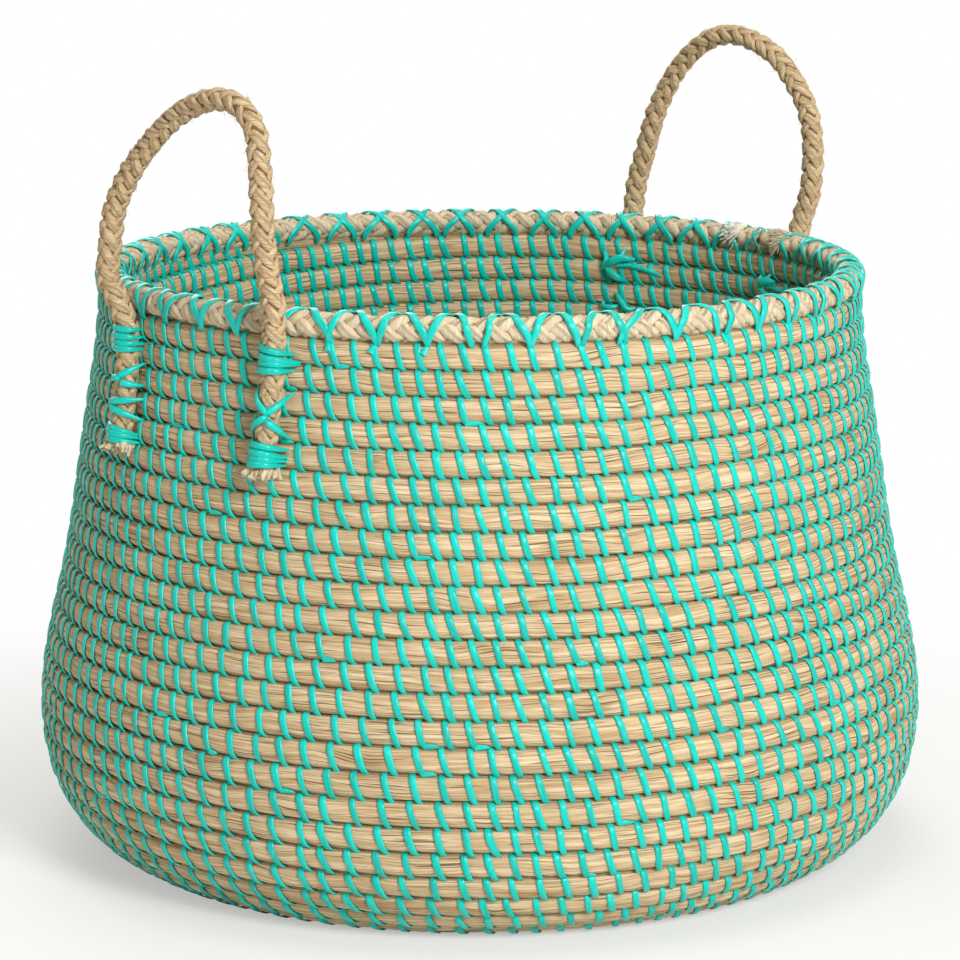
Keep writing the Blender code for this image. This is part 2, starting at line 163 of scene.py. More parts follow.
@dataclass
class Skin:
    """Gathers the tubes and strips of one piece and joins them into one mesh.

    Attributes:
        name: The piece's name.
        blocks: For each block its rings, their fibre coordinates and whether its tubes close on themselves.
    """

    name: str
    blocks: list = field(default_factory=list)

    def add(self, rings: Array, lay: Array, closed: bool = False) -> None:
        """Add a block of like tubes.

        Args:
            rings: Points as (tube, ring, side, 3).
            lay: Where each point lies along and around its fibre, and its depth, in the same shape.
            closed: Whether the last ring joins the first.
        """
        self.blocks.append((np.asarray(rings, float), np.broadcast_to(lay, rings.shape), closed))

    @staticmethod
    def _length(rings: Array) -> float:
        """Return how long the first tube is."""
        return np.linalg.norm(np.diff(rings[0].mean(1), axis=0), axis=1).sum()

    @staticmethod
    def _inside_out(rings: Array) -> bool:
        """Return whether the side faces of the first tube point inward."""
        tube = rings[0] - rings[0].reshape(-1, 3).mean(0)
        middle = tube.mean(1, keepdims=True)
        along = np.roll(tube, -1, 0)[:-1] - tube[:-1]
        around = np.roll(tube, -1, 1)[:-1] - tube[:-1]
        return float((np.cross(around, along) * (tube - middle)[:-1]).sum()) < 0

    def _map(self, rings: Array, spans: int, low: float, high: float) -> Array:
        """Lay a block's side faces out in a band of the bake's map.

        Args:
            rings: The block's points.
            spans: How many rings of faces each tube has.
            low: The band's lower edge, as a share of the map.
            high: The band's upper edge.

        Returns:
            The map's points for each face's corners, as (tube, span, side, 4, 2).
        """
        tubes, _, sides, _ = rings.shape
        length = self._length(rings)
        girth = np.linalg.norm(rings[0, 1] - np.roll(rings[0, 1], 1, 0), axis=1).sum()
        pieces = max(1, math.ceil(length / girth / LONGEST_CELL))
        per_piece = math.ceil(spans / pieces)
        aspect = length / pieces / girth
        cells = tubes * pieces
        columns = max(1, round(math.sqrt(cells / aspect / (high - low))))
        rows = math.ceil(cells / columns)
        tube, span, side = np.meshgrid(range(tubes), range(spans), range(sides), indexing="ij")
        cell = tube * pieces + span // per_piece
        left = (cell % columns + MARGIN_LENGTH + CELL_LENGTH * (span % per_piece) / per_piece) / columns
        base = (cell // columns + MARGIN_HEIGHT + CELL_HEIGHT * side / sides) / rows
        wide, tall = CELL_LENGTH / per_piece / columns, CELL_HEIGHT / sides / rows
        steps = np.array([(0, 0), (0, tall), (wide, tall), (wide, 0)])
        made = np.stack([left, base], -1)[..., None, :] + steps
        made[..., 1] = low + made[..., 1] * (high - low)
        return made

    @staticmethod
    def _map_caps(lids: Array, done: int, cap_count: int) -> Array:
        """Lay the caps of a block's tubes out along the top of the bake's map.

        Args:
            lids: The caps' corners, one cap to a row.
            done: How many caps the blocks before have.
            cap_count: How many the whole piece has.

        Returns:
            The map's points for each corner.
        """
        angle = np.arange(lids.shape[1]) / lids.shape[1] * math.tau
        middle = (done + np.arange(len(lids)) + 0.5) / cap_count
        around = joined(np.cos(angle) * CAP_WIDTH / cap_count, CAP_HEIGHT * np.sin(angle))
        return (joined(middle, CAPS_MIDDLE)[:, None, :] + around).reshape(-1, 2)

    def build(self, slot: Slot, finish: bpy.types.Material) -> bpy.types.Object:
        """Join the blocks into one object.

        Args:
            slot: The record's slot for the piece; not used.
            finish: The piece's material.

        Returns:
            The new object, in the scene.
        """
        sizes = [self._length(rings) * len(rings) for rings, _, _ in self.blocks]
        tops = TUBES_SHARE * np.concatenate([[0.0], np.cumsum(sizes)]) / sum(sizes)
        faces, maps, start = [], [], 0
        caps, cap_count = [], sum(2 * len(r) for r, _, closed in self.blocks if not closed)
        for (rings, _, closed), low, high in zip(self.blocks, tops, tops[1:]):
            tubes, count, sides, _ = rings.shape
            index = start + np.arange(tubes * count * sides).reshape(tubes, count, sides)
            first = index if closed else index[:, :-1]
            after = np.roll(index, -1, 1) if closed else index[:, 1:]
            quads = np.stack([first, np.roll(first, -1, 2), np.roll(after, -1, 2), after], -1)
            spread = self._map(rings, first.shape[1], low, high)
            turned = self._inside_out(rings)
            if turned:
                quads, spread = quads[..., ::-1], spread[..., ::-1, :]
            faces.extend(quads.reshape(-1, 4).tolist())
            maps.append(spread.reshape(-1, 2))
            if not closed:
                lids = np.concatenate([index[:, 0, ::-1], index[:, -1]])
                caps.append(lids[:, ::-1] if turned else lids)
            start += tubes * count * sides
        done = 0
        for lids in caps:
            faces.extend(lids.tolist())
            maps.append(self._map_caps(lids, done, cap_count))
            done += len(lids)
        mesh = bpy.data.meshes.new(self.name)
        points = np.concatenate([rings.reshape(-1, 3) for rings, _, _ in self.blocks])
        mesh.from_pydata(points, [], faces)
        lay = mesh.attributes.new("lay", "FLOAT_VECTOR", "POINT")
        lays = np.concatenate([own.reshape(-1, 3) for _, own, _ in self.blocks])
        lay.data.foreach_set("vector", lays.ravel())
        layer = mesh.uv_layers.new(name="OFBake")
        layer.uv.foreach_set("vector", np.concatenate(maps).ravel())
        mesh.shade_smooth()
        mesh.set_sharp_from_angle(angle=math.radians(SHARP_DEG))
        mesh.materials.append(finish)
        made = bpy.data.objects.new(self.name, mesh)
        bpy.context.scene.collection.objects.link(made)
        log.info("%s: %d tubes, %d faces", self.name, sum(len(r) for r, _, _ in self.blocks), len(faces))
        return made


@dataclass(frozen=True)
class Strip:
    """Flat plastic strip, crowned on its outer side.

    Attributes:
        width: Across the strip.
        thickness: At its middle.
        outline_shares: Half widths and thicknesses across the strip, from edge to edge.
        shift: Moves each strip's pattern along, so that no two look alike.
        tones: How many depths the strips take in turn.
        uneven: How far the strips' widths vary, as a share.
    """

    width: float
    thickness: float
    outline_shares: tuple = ((-1.0, 0.0), (-0.94, 0.62), (-0.50, 1.0), (0.50, 1.0), (0.94, 0.62), (1.0, 0.0))
    shift: float = 0.37
    tones: int = 7
    uneven: float = 0.06

    def widths(self, rolled: np.random.Generator, count: int) -> Array:
        """Return a share of the width for each of a count of strips, one to a row."""
        return 1 + rolled.normal(0, self.uneven, (count, 1))

    def around(
        self, points: Array, centres: Array, widths: Array | float = 1.0
    ) -> Laid:
        """Lay strips along paths, facing away from their centres.

        Args:
            points: The strips' paths, as (strip, point, 3).
            centres: The points that each path goes round, in the same shape.
            widths: Shares of the strip's width along each path.

        Returns:
            The rings and their fibre coordinates.
        """
        tangent = unit(np.gradient(points, axis=1))
        normal = square_to(points - centres, tangent)
        side = np.cross(tangent, normal)
        shares = np.array(self.outline_shares)
        widths = np.broadcast_to(widths, points.shape[:2])[..., None, None]
        wide = widths * shares[:, :1] * self.width / 2
        deep = np.clip(widths, 0, 1)
        rings = (
            points[:, :, None, :] + side[:, :, None, :] * wide
            + normal[:, :, None, :] * shares[:, 1:] * self.thickness * deep
        )
        runs = np.linalg.norm(np.diff(points, axis=1), axis=2)
        along = np.concatenate([np.zeros((len(points), 1)), np.cumsum(runs, axis=1)], 1)
        count = np.arange(len(points))[:, None, None]
        lay = joined(along[..., None] + count * self.shift, wide[..., 0], count % self.tones / self.tones)
        return rings, lay


@dataclass(frozen=True)
class Route:
    """The way that the coil winds: level courses that step down at the back, then a spiral under the base.

    Attributes:
        pitch: From one course to the next.
        courses: How many lie in the wall.
        mouth_radius: Of the top course's centre.
        floor_centre: The base coil's centre above the floor.
        leans_deg: How the wall leans at a count of courses below the rim, outward positive.
        step_end_deg: The azimuth where each course has stepped down to the next.
        step_deg: How long the step is.
        step_growth_deg: How much longer it gets with each loop of the base.
        base_end_radius: Of the base's spiral where its stitches end.
        profile_steps: In how many steps a course's slope is added up.
    """

    pitch: float = 0.0120
    courses: int = 24
    mouth_radius: float = 0.1800
    floor_centre: float = 0.00456
    leans_deg: tuple = (
        (0, 3), (3, 10), (8, 8), (12.5, 14), (15, 9), (17, -1), (19, -15), (21, -38), (23, -65), (24, -90),
    )
    step_end_deg: float = 150.0
    step_deg: float = 120.0
    step_growth_deg: float = 30.0
    base_end_radius: float = 0.0075
    profile_steps: int = 100

    def profile(self, course: Array) -> tuple[Array, Array, Array]:
        """Return the coil's radius and height and the wall's lean, in radians, at counts of courses."""
        grid = np.linspace(0, self.courses, self.profile_steps * self.courses + 1)
        lean = np.radians(np.interp(grid, *np.array(self.leans_deg, float).T))
        step = self.pitch / self.profile_steps
        out = np.concatenate([[0.0], np.cumsum(np.sin((lean[1:] + lean[:-1]) / 2))]) * step
        down = np.concatenate([[0.0], np.cumsum(np.cos((lean[1:] + lean[:-1]) / 2))]) * step
        inside = np.clip(course, 0, self.courses)
        past = course - inside
        radius = self.mouth_radius + np.interp(inside, grid, out) - self.pitch * np.maximum(past, 0)
        height = self.floor_centre + down[-1] - np.interp(inside, grid, down)
        height = height - self.pitch * np.minimum(past, 0)
        return radius, height, np.interp(inside, grid, lean)

    def course_at(self, turned: Array) -> Array:
        """Return the count of courses below the top one after the coil has turned so far, in degrees."""
        loop = np.floor(turned / 360)
        rest = turned - 360 * loop
        step = np.clip(self.step_deg + self.step_growth_deg * np.maximum(loop - self.courses + 1, 0), 0, 360)
        share = np.clip((rest - (360 - step)) / step, 0, 1)
        full = (step - self.step_deg) / (360 - self.step_deg)
        return np.maximum(loop + share * full + smooth(share) * (1 - full), 0)

    def place(self, turned: Array, out: Array | float, up: Array | float) -> Array:
        """Return points at a turn of the coil, so far out from its centre and up the wall's slope.

        In the base's middle, where a whole course has no room, the coil's centre keeps halfway between the
        course before it and the axis.
        """
        radius, height, lean = self.profile(self.course_at(turned))
        radius = np.maximum(radius, (radius + self.pitch / 2) / 2)
        across = radius + out * np.cos(lean) - up * np.sin(lean)
        return polar(across, self.step_end_deg + turned, height + out * np.sin(lean) + up * np.cos(lean))

    def wall_point(self, azimuth_deg: Array, drop: Array, out: Array | float) -> Array:
        """Return points at an azimuth, a drop down the wall's slope and a distance out from its centre."""
        radius, height, lean = self.profile(drop / self.pitch)
        return polar(radius + out * np.cos(lean), azimuth_deg, height + out * np.sin(lean))

    def radius_at(self, turned: Array) -> Array:
        """Return the coil's radius at a turn."""
        return self.profile(self.course_at(turned))[0]

    @property
    def end_turn(self) -> float:
        """How far the coil has turned where its radius falls below base_end_radius, past its last stitch."""
        turned = 360.0 * self.courses + np.arange(0, 360 * self.courses, 1.0)
        return float(turned[np.argmax(self.radius_at(turned) < self.base_end_radius)])


class Value:
    """A number socket in a node tree, which arithmetic turns into Math nodes."""

    def __init__(self, tree: "Tree", socket: bpy.types.NodeSocket) -> None:
        """Wrap a socket of a tree."""
        self.tree = tree
        self.socket = socket

    def _math(self, operation: str, *values: "Value | float") -> "Value":
        """Return a Math node's result."""
        return self.tree.add("ShaderNodeMath", {"operation": operation}, dict(enumerate(values)))

    def __add__(self, other: "Value | float") -> "Value":
        """Add."""
        return self._math("ADD", self, other)

    __radd__ = __add__

    def __sub__(self, other: "Value | float") -> "Value":
        """Subtract."""
        return self._math("SUBTRACT", self, other)

    def __rsub__(self, other: float) -> "Value":
        """Subtract from a number."""
        return self._math("SUBTRACT", other, self)

    def __mul__(self, other: "Value | float") -> "Value":
        """Multiply."""
        return self._math("MULTIPLY", self, other)

    __rmul__ = __mul__

    def between(self, low: float, high: float) -> "Value":
        """Return 0 below low, 1 above high and a smooth rise between them."""
        return self.tree.add(
            "ShaderNodeMapRange", {"interpolation_type": "SMOOTHSTEP"},
            {"Value": self, "From Min": low, "From Max": high},
        )


class Tree:
    """The node tree of a material or a sky."""

    def __init__(self, owner: bpy.types.Material | bpy.types.World, shader: str = "Principled BSDF") -> None:
        """Take hold of the first nodes of a material or a sky."""
        self.owner = owner
        owner.use_nodes = True
        self.nodes = owner.node_tree.nodes
        self.shader = self.nodes[shader]

    def add(self, kind: str, settings: dict, inputs: dict, output: str | int = 0) -> Value:
        """Add a node.

        Args:
            kind: The node's type.
            settings: Properties of the node, set first.
            inputs: Values or links of its sockets, by name or number.
            output: The socket to return, by name or number.

        Returns:
            The node's output.
        """
        node = self.nodes.new(kind)
        for key, value in settings.items():
            setattr(node, key, value)
        for key, value in inputs.items():
            self.feed(node.inputs[key], value)
        return Value(self, node.outputs[output])

    def feed(self, socket: bpy.types.NodeSocket, value: "Value | float | tuple") -> None:
        """Link a value to a socket, or set the socket to a constant."""
        if isinstance(value, Value):
            self.owner.node_tree.links.new(value.socket, socket)
        elif isinstance(value, tuple) and socket.type == "RGBA":
            socket.default_value = (*value, 1.0)
        else:
            socket.default_value = value

    def mix(self, share: "Value | float", first: "Value | Colour", second: "Value | Colour") -> Value:
        """Mix two colours."""
        return self.add("ShaderNodeMix", {"data_type": "RGBA"}, {0: share, 6: first, 7: second}, 2)

    def lay(self) -> Value:
        """Return where a point lies along and around its fibre, and its depth."""
        return self.add("ShaderNodeAttribute", {"attribute_name": "lay"}, {}, "Vector")

    def streaks(self, along: float, across: float, shift: float = 0.0, detail: float = 2.0) -> Value:
        """Return noise drawn out along the fibres.

        Args:
            along: Patches to the metre along a fibre.
            across: Patches to the metre across it.
            shift: Moves the pattern, so that two of them differ.
            detail: How many finer layers it has.

        Returns:
            A number round 0.5.
        """
        placed = self.add(
            "ShaderNodeVectorMath", {"operation": "MULTIPLY_ADD"},
            {0: self.lay(), 1: (along, across, 1.0), 2: (shift, shift, shift)},
        )
        return self.add("ShaderNodeTexNoise", {}, {"Vector": placed, "Scale": 1.0, "Detail": detail}, "Fac")

    def depth(self) -> Value:
        """Return the third number of the fibre coordinates."""
        return self.add("ShaderNodeSeparateXYZ", {}, {0: self.lay()}, 2)

    def bump(self, height: Value, distance: float, strength: float) -> None:
        """Raise the surface by a height."""
        inputs = {"Height": height, "Distance": distance, "Strength": strength}
        self.feed(self.shader.inputs["Normal"], self.add("ShaderNodeBump", {}, inputs))

    def set(self, **sockets: "Value | float | Colour") -> bpy.types.Material:
        """Set the shader's sockets, their names written with underscores, and return the material."""
        for name, value in sockets.items():
            self.feed(self.shader.inputs[name.replace("_", " ")], value)
        return self.owner

    def seen(self, *rays: str) -> Value:
        """Return 1 for any of the named kinds of ray and 0 for the others."""
        paths = self.nodes.new("ShaderNodeLightPath")
        total = Value(self, paths.outputs[rays[0]])
        for ray in rays[1:]:
            total = total._math("MAXIMUM", total, Value(self, paths.outputs[ray]))
        return total

    def blend_shaders(self, share: Value, second: Value, output: str) -> None:
        """Mix the first shader with a second one, by a share, into the output node."""
        first = Value(self, self.shader.outputs[0])
        mixed = self.add("ShaderNodeMixShader", {}, {0: share, 1: first, 2: second})
        self.feed(self.nodes[output].inputs["Surface"], mixed)


@dataclass(frozen=True)
class SeagrassFinish:
    """Dry seagrass: pale straw with darker and browner blades."""

    pale: Colour = (0.84, 0.68, 0.46)
    straw: Colour = (0.62, 0.45, 0.25)
    brown: Colour = (0.40, 0.24, 0.10)
    rust: Colour = (0.60, 0.31, 0.11)
    shade: Colour = (0.13, 0.07, 0.025)

    def material(self) -> bpy.types.Material:
        """Return the material."""
        tree = Tree(bpy.data.materials.new("seagrass"))
        blades = tree.streaks(along=24, across=900, shift=3.0)
        threads = tree.streaks(along=45, across=4200, shift=9.0, detail=3.0)
        colour = tree.mix(blades.between(0.38, 0.62), self.straw, self.pale)
        patches = tree.streaks(along=7, across=170, shift=21.0).between(0.54, 0.72)
        colour = tree.mix(patches * 0.6, colour, self.brown)
        reddened = tree.streaks(along=12, across=520, shift=40.0).between(0.64, 0.74)
        colour = tree.mix(reddened * 0.6, colour, self.rust)
        colour = tree.mix(threads.between(0.54, 0.34) * 0.66, colour, self.brown)
        lines = tree.streaks(along=24, across=2300, shift=55.0, detail=1.0).between(0.385, 0.30)
        colour = tree.mix(lines * 0.8, colour, self.shade)
        tree.bump(blades * 0.5 + threads * 0.4 - lines, distance=0.0006, strength=1.0)
        return tree.set(Base_Color=colour, Roughness=0.6 + threads * 0.25, Specular_IOR_Level=0.18)


@dataclass(frozen=True)
class StripFinish:
    """Turquoise plastic strip, finely ribbed along its length."""

    bright: Colour = (0.0, 0.66, 0.57)
    deep: Colour = (0.0, 0.50, 0.43)
    scuffed: Colour = (0.16, 0.74, 0.66)

    def material(self) -> bpy.types.Material:
        """Return the material."""
        tree = Tree(bpy.data.materials.new("plastic_strip"))
        ribs = tree.streaks(along=60, across=2600, shift=2.0)
        tone = tree.streaks(along=30, across=300, shift=5.0)
        colour = tree.mix(tone.between(0.4, 0.62), self.bright, self.deep)
        scuffs = tree.streaks(along=260, across=900, shift=12.0, detail=3.0).between(0.58, 0.72)
        colour = tree.mix(scuffs * 0.35, colour, self.scuffed)
        tree.bump(ribs, distance=0.0002, strength=0.5)
        rough = 0.23 + scuffs * 0.2 + ribs * 0.08
        return tree.set(Base_Color=colour, Roughness=rough, Specular_IOR_Level=0.36)


@dataclass(frozen=True)
class RopeFinish:
    """Plaited plant fibre: twisted yarns, darker with painted shade where they dive towards the rope's
    middle, and pale where they fray.
    """

    name: str
    pale: Colour
    body: Colour
    gap: Colour
    fray: Colour = (0.86, 0.74, 0.54)
    bleached: Colour = (0.98, 0.93, 0.80)

    def material(self) -> bpy.types.Material:
        """Return the material."""
        tree = Tree(bpy.data.materials.new(self.name))
        yarn = tree.streaks(along=70, across=1900, shift=4.0, detail=3.0)
        tone = tree.streaks(along=14, across=160, shift=15.0)
        colour = tree.mix(yarn.between(0.34, 0.62), self.body, self.pale)
        colour = tree.mix(tone.between(0.50, 0.74) * 0.45, colour, self.body)
        # Painted shade: thin dark lines in the gap colour, in the cracks between the fibres.
        lines = tree.streaks(along=40, across=1900, shift=33.0, detail=1.0).between(0.38, 0.28)
        colour = tree.mix(lines * 0.6, colour, self.gap)
        # Painted shade: the gap colour darkens the strands towards the rope's middle, in the crevices between
        # them, and covers the core and the bed.
        colour = tree.mix(tree.depth().between(0.86, 0.62) * 0.9, colour, self.gap)
        colour = tree.mix(tree.depth().between(1.1, 1.2) * 0.8, colour, self.fray)
        colour = tree.mix(tree.depth().between(1.4, 1.5), colour, self.bleached)
        tree.bump(yarn, distance=0.0007, strength=1.0)
        return tree.set(Base_Color=colour, Roughness=0.85, Specular_IOR_Level=0.15)


@dataclass
class Finishes:
    """The basket's materials, each made once."""

    seagrass: bpy.types.Material = field(default_factory=lambda: SeagrassFinish().material())
    plastic: bpy.types.Material = field(default_factory=lambda: StripFinish().material())
    rim_rope: bpy.types.Material = field(
        default_factory=lambda: RopeFinish(
            "rim_rope", pale=(0.90, 0.78, 0.58), body=(0.72, 0.56, 0.35), gap=(0.28, 0.17, 0.08)
        ).material()
    )
    handle_rope: bpy.types.Material = field(
        default_factory=lambda: RopeFinish(
            "handle_rope", pale=(0.82, 0.63, 0.40), body=(0.54, 0.37, 0.19), gap=(0.13, 0.07, 0.03)
        ).material()
    )


# A stitch's loop, corner by corner: its angle, how far out and up it lies, in shares of the bundle's half
# sizes, 1 where that is counted from the course below, into which it dives, and how far it leads along the
# coil, in metres.
STITCH_LOOP = (
    (-12, -0.24, 0.985, 0, -0.0016), (12, 0.28, 0.985, 0, -0.0014), (32, 0.62, 0.94, 0, -0.0014),
    (52, 0.89, 0.78, 0, -0.0012), (70, 1.00, 0.46, 0, -0.0008), (86, 1.02, 0.12, 0, -0.0003),
    (102, 1.02, -0.22, 0, 0.0003), (118, 0.985, -0.56, 0, 0.0009), (134, 0.84, -0.86, 0, 0.0017),
    (150, 0.62, 0.93, 1, 0.0026), (164, 0.36, 0.80, 1, 0.0026), (180, 0.0, 0.74, 1, 0.0012),
    (196, -0.36, 0.80, 1, -0.0010), (210, -0.62, 0.93, 1, -0.0010), (226, -0.84, -0.86, 0, 0.0003),
    (242, -0.985, -0.56, 0, 0.0016), (258, -1.02, -0.22, 0, 0.0023), (274, -1.02, 0.12, 0, 0.0028),
    (290, -1.00, 0.46, 0, 0.0032), (308, -0.89, 0.78, 0, 0.0035), (328, -0.62, 0.94, 0, 0.0037),
    (348, -0.28, 0.985, 0, 0.0038), (372, 0.24, 0.985, 0, 0.0040),
)
# Where a stitch dives it is narrower: angles of its loop and shares of its width.
STITCH_WIDTHS = ((118, 160, 200, 242), (1, 0.75, 0.75, 1))
# How far the loops differ: in how far they lead, as a share, in their path along the coil, in metres, and in
# how far out they lie, from one share to another.
STITCH_LEAN, STITCH_WANDER, STITCH_PROUD = 0.10, 0.0002, (0.98, 1.01)
# Where no course lies below, a stitch passes under the bundle, at this share of its half height.
UNDER_BUNDLE = -1.12
# The angles round the bundle's section, close together on its two open sides.
BUNDLE_ANGLES = (*np.linspace(35, 145, 13), 163, 180, 197, *np.linspace(215, 325, 13), 343, 360, 377)


@dataclass
class Piecework:
    """What each sub-assembly of the basket is made with.

    Attributes:
        route: How the coil winds.
        finishes: The basket's materials.
    """

    route: Route
    finishes: Finishes


@dataclass(frozen=True)
class Sewing:
    """How the stitches are spaced, in shares of the gap between two of them unless it says otherwise.

    Attributes:
        gap: From one stitch to the next, in metres.
        least_radius: The gap's degrees are worked out at this radius of the coil or more, in metres.
        first_deg: How far before the end of the route the first stitch is, in degrees.
        last_deg: How far after the coil's tip the last one may be, in degrees.
        held_deg: How far before the coil's end a stitch can still dive into it, in degrees.
        ahead: How far a stitch lies ahead of the one of the course below that it is sewn beside.
        within: How far back, from and to, that one may lie.
        evened: How far such a stitch is moved towards its even place.
        alone: How far back, from and to, a stitch with none beside it is set.
        stray: How far each one strays.
        least: How near to the one before it a stitch may come.
    """

    gap: float = 0.0113
    least_radius: float = 0.012
    first_deg: float = 40.0
    last_deg: float = 30.0
    held_deg: float = 30.0
    ahead: float = 0.07
    within: tuple[float, float] = (0.72, 1.30)
    evened: float = 0.28
    alone: tuple[float, float] = (0.92, 1.05)
    stray: float = 0.04
    least: float = 0.6


@dataclass
class Coil(Piecework):
    """The seagrass bundle and the stitches that hold its courses together.

    Attributes:
        half_depth: Half the bundle's size square to the wall.
        half_height: Half its size along the wall.
        squareness: Below 1, the bundle is squarer than an oval.
        first_turn: Where the bundle's tip is, in degrees.
        tip_share: Its size there, as a share of the full one.
        tip_deg: How far it takes to swell to the full size.
        heart_deg: How far the coil winds on past its route, thinner and thinner, in the base's middle.
        heart_start_deg: From the last stitch to the first ring there.
        heart_gap_deg: From ring to ring there, where no stitch sets them.
        floor_gap: How far above the floor its underside is kept.
        ridge: How far the blades stand out or lie back.
        ridge_length: How far along the bundle a ridge runs.
        swell: How much thicker or thinner the bundle gets, as a share.
        swell_length: How far along the bundle that takes.
        drift: How far the blades drift round the bundle.
        drift_length: How far along the bundle that takes.
        pinch: How deep a stitch draws the bundle in.
        pinch_reach: How far from the stitch.
        pinch_kept: How much of a ridge a stitch presses flat.
        held: How much of a ridge the courses above and below press flat.
        sewing: How the stitches are spaced.
        strip: What they are made of.
        tail_every: One stitch in so many shows the tail of a strip.
        wall_parts: How many pieces the wall is cut into.
        seed: Starts the random numbers.
    """

    half_depth: float = 0.0056
    half_height: float = 0.0060
    squareness: float = 0.74
    first_turn: float = -90.0
    tip_share: float = 0.28
    tip_deg: float = 90.0
    heart_deg: float = 330.0
    heart_start_deg: float = 20.0
    heart_gap_deg: float = 24.0
    floor_gap: float = 0.0004
    ridge: float = 0.00030
    ridge_length: float = 0.040
    swell: float = 0.018
    swell_length: float = 0.06
    drift: float = 0.0008
    drift_length: float = 0.023
    pinch: float = 0.00042
    pinch_reach: float = 0.0024
    pinch_kept: float = 0.9
    held: float = 0.75
    sewing: Sewing = Sewing()
    strip: Strip = Strip(width=0.0031, thickness=0.00065)
    tail_every: int = 36
    wall_parts: int = 4
    seed: int = 5

    def __post_init__(self) -> None:
        """Work out the coil's length at each degree, how far off its next course is and where it is sewn."""
        self.turns = np.arange(self.first_turn, self.route.end_turn + self.heart_deg, 1.0)
        to_next = self.route.place(self.turns + 360, 0.0, 0.0) - self.route.place(self.turns, 0.0, 0.0)
        self.spacing = np.maximum(np.linalg.norm(to_next, axis=-1) / self.route.pitch, 1.0)
        radii = np.maximum(self.route.radius_at(self.turns), self.route.base_end_radius)
        self.runs = np.concatenate([[0.0], np.cumsum(np.radians(1.0) * (radii[1:] + radii[:-1]) / 2)])
        self.stitches = self._stitch_turns()

    def _stitch_turns(self) -> Array:
        """Place the stitches as they are sewn, from the base up, each beside one of the course below.

        Returns:
            The turns of the stitches on the coil's outer side, rising.
        """
        rolled = np.random.default_rng(self.seed)
        sewing = self.sewing
        radii = np.interp(np.arange(0, self.turns[-1]), self.turns, self.route.radius_at(self.turns))
        placed = [self.route.end_turn - sewing.first_deg]
        below = 0
        while placed[-1] > self.first_turn + sewing.last_deg:
            last = placed[-1]
            gap = math.degrees(sewing.gap / max(radii[max(int(last), 0)], sewing.least_radius))
            while below < len(placed) and placed[below] - 360 > last - sewing.within[0] * gap:
                below += 1
            beside = placed[below] - 360 + sewing.ahead * gap if below < len(placed) else -math.inf
            if last - beside < sewing.within[1] * gap:
                chosen = beside + sewing.evened * (last - gap - beside)
                below += 1
            else:
                chosen = last - gap * rolled.uniform(*sewing.alone)
            placed.append(min(chosen + gap * rolled.normal(0, sewing.stray), last - sewing.least * gap))
        return np.array(placed[::-1])

    def _run(self, turned: Array) -> Array:
        """Return how far along the coil a turn lies."""
        return np.interp(turned, self.turns, self.runs)

    def _thickness(self, turned: Array) -> Array:
        """Return the bundle's size as a share of the full one, tapered off at its two ends."""
        top = self.tip_share + (1 - self.tip_share) * smooth((turned - self.first_turn) / self.tip_deg)
        room = (self.route.radius_at(turned) / self.route.pitch + 0.5).clip(0.02, 1.0)
        return top * room

    def _at(self, turned: Array, out: Array, up: Array) -> Array:
        """Return points of the bundle, from shares of its half sizes.

        It tapers at its ends, swells where the next course lies further off and keeps off the floor.
        """
        size = self._thickness(turned)
        rise = np.where(turned < 0, 1 - size, 0.0) * self.half_height
        beside = np.interp(turned - 360.0 * (np.asarray(up) > 0), self.turns, self.spacing)
        high = up * size * beside * self.half_height + rise
        return lifted(self.route.place(turned, out * size * self.half_depth, high))

    def _rings_between(self, first: float, last: float) -> Array:
        """Return the turns of the bundle's rings, three from each stitch to the next, between two turns."""
        heart = np.arange(self.stitches[-1] + self.heart_start_deg, self.turns[-1], self.heart_gap_deg)
        inner = np.concatenate([self.stitches, heart])
        edges = np.concatenate([[first], inner[(inner > first) & (inner < last)], [last]])
        shares = np.arange(3) / 3
        return np.append((edges[:-1, None] + np.diff(edges)[:, None] * shares).ravel(), last)

    def _blades(self, run: Array, sides: int) -> tuple[Array, Array]:
        """Return how the blades of seagrass lie in the bundle.

        Args:
            run: Places along the coil.
            sides: How many sides the bundle has.

        Returns:
            How far each side stands out at each place, round 0, and how far the blades drift round it.
        """
        lengths = int(self.runs[-1] / self.ridge_length) + 3
        knots = np.random.default_rng(self.seed + 1).normal(0, 1, (lengths, sides))
        place = run / self.ridge_length
        low = place.astype(int)
        ease = smooth(place - low)[:, None]
        drift = self.drift * noise_along(run / self.drift_length, knots[:, :2].ravel())
        return knots[low] * (1 - ease) + knots[low + 1] * ease, drift

    def _drawn(self, run: Array, angle: Array) -> Array:
        """Return how far stitches draw the bundle in, 0 to 1, at places along it and angles round it."""
        loop = np.array(STITCH_LOOP)
        stitched = self._run(self.stitches)
        aim = run[:, None] - np.interp(angle, loop[:, 0], loop[:, 4])
        near = np.clip(np.searchsorted(stitched, aim), 1, len(stitched) - 1)
        away = np.minimum(np.abs(stitched[near] - aim), np.abs(aim - stitched[near - 1]))
        return bell(away / self.pinch_reach)

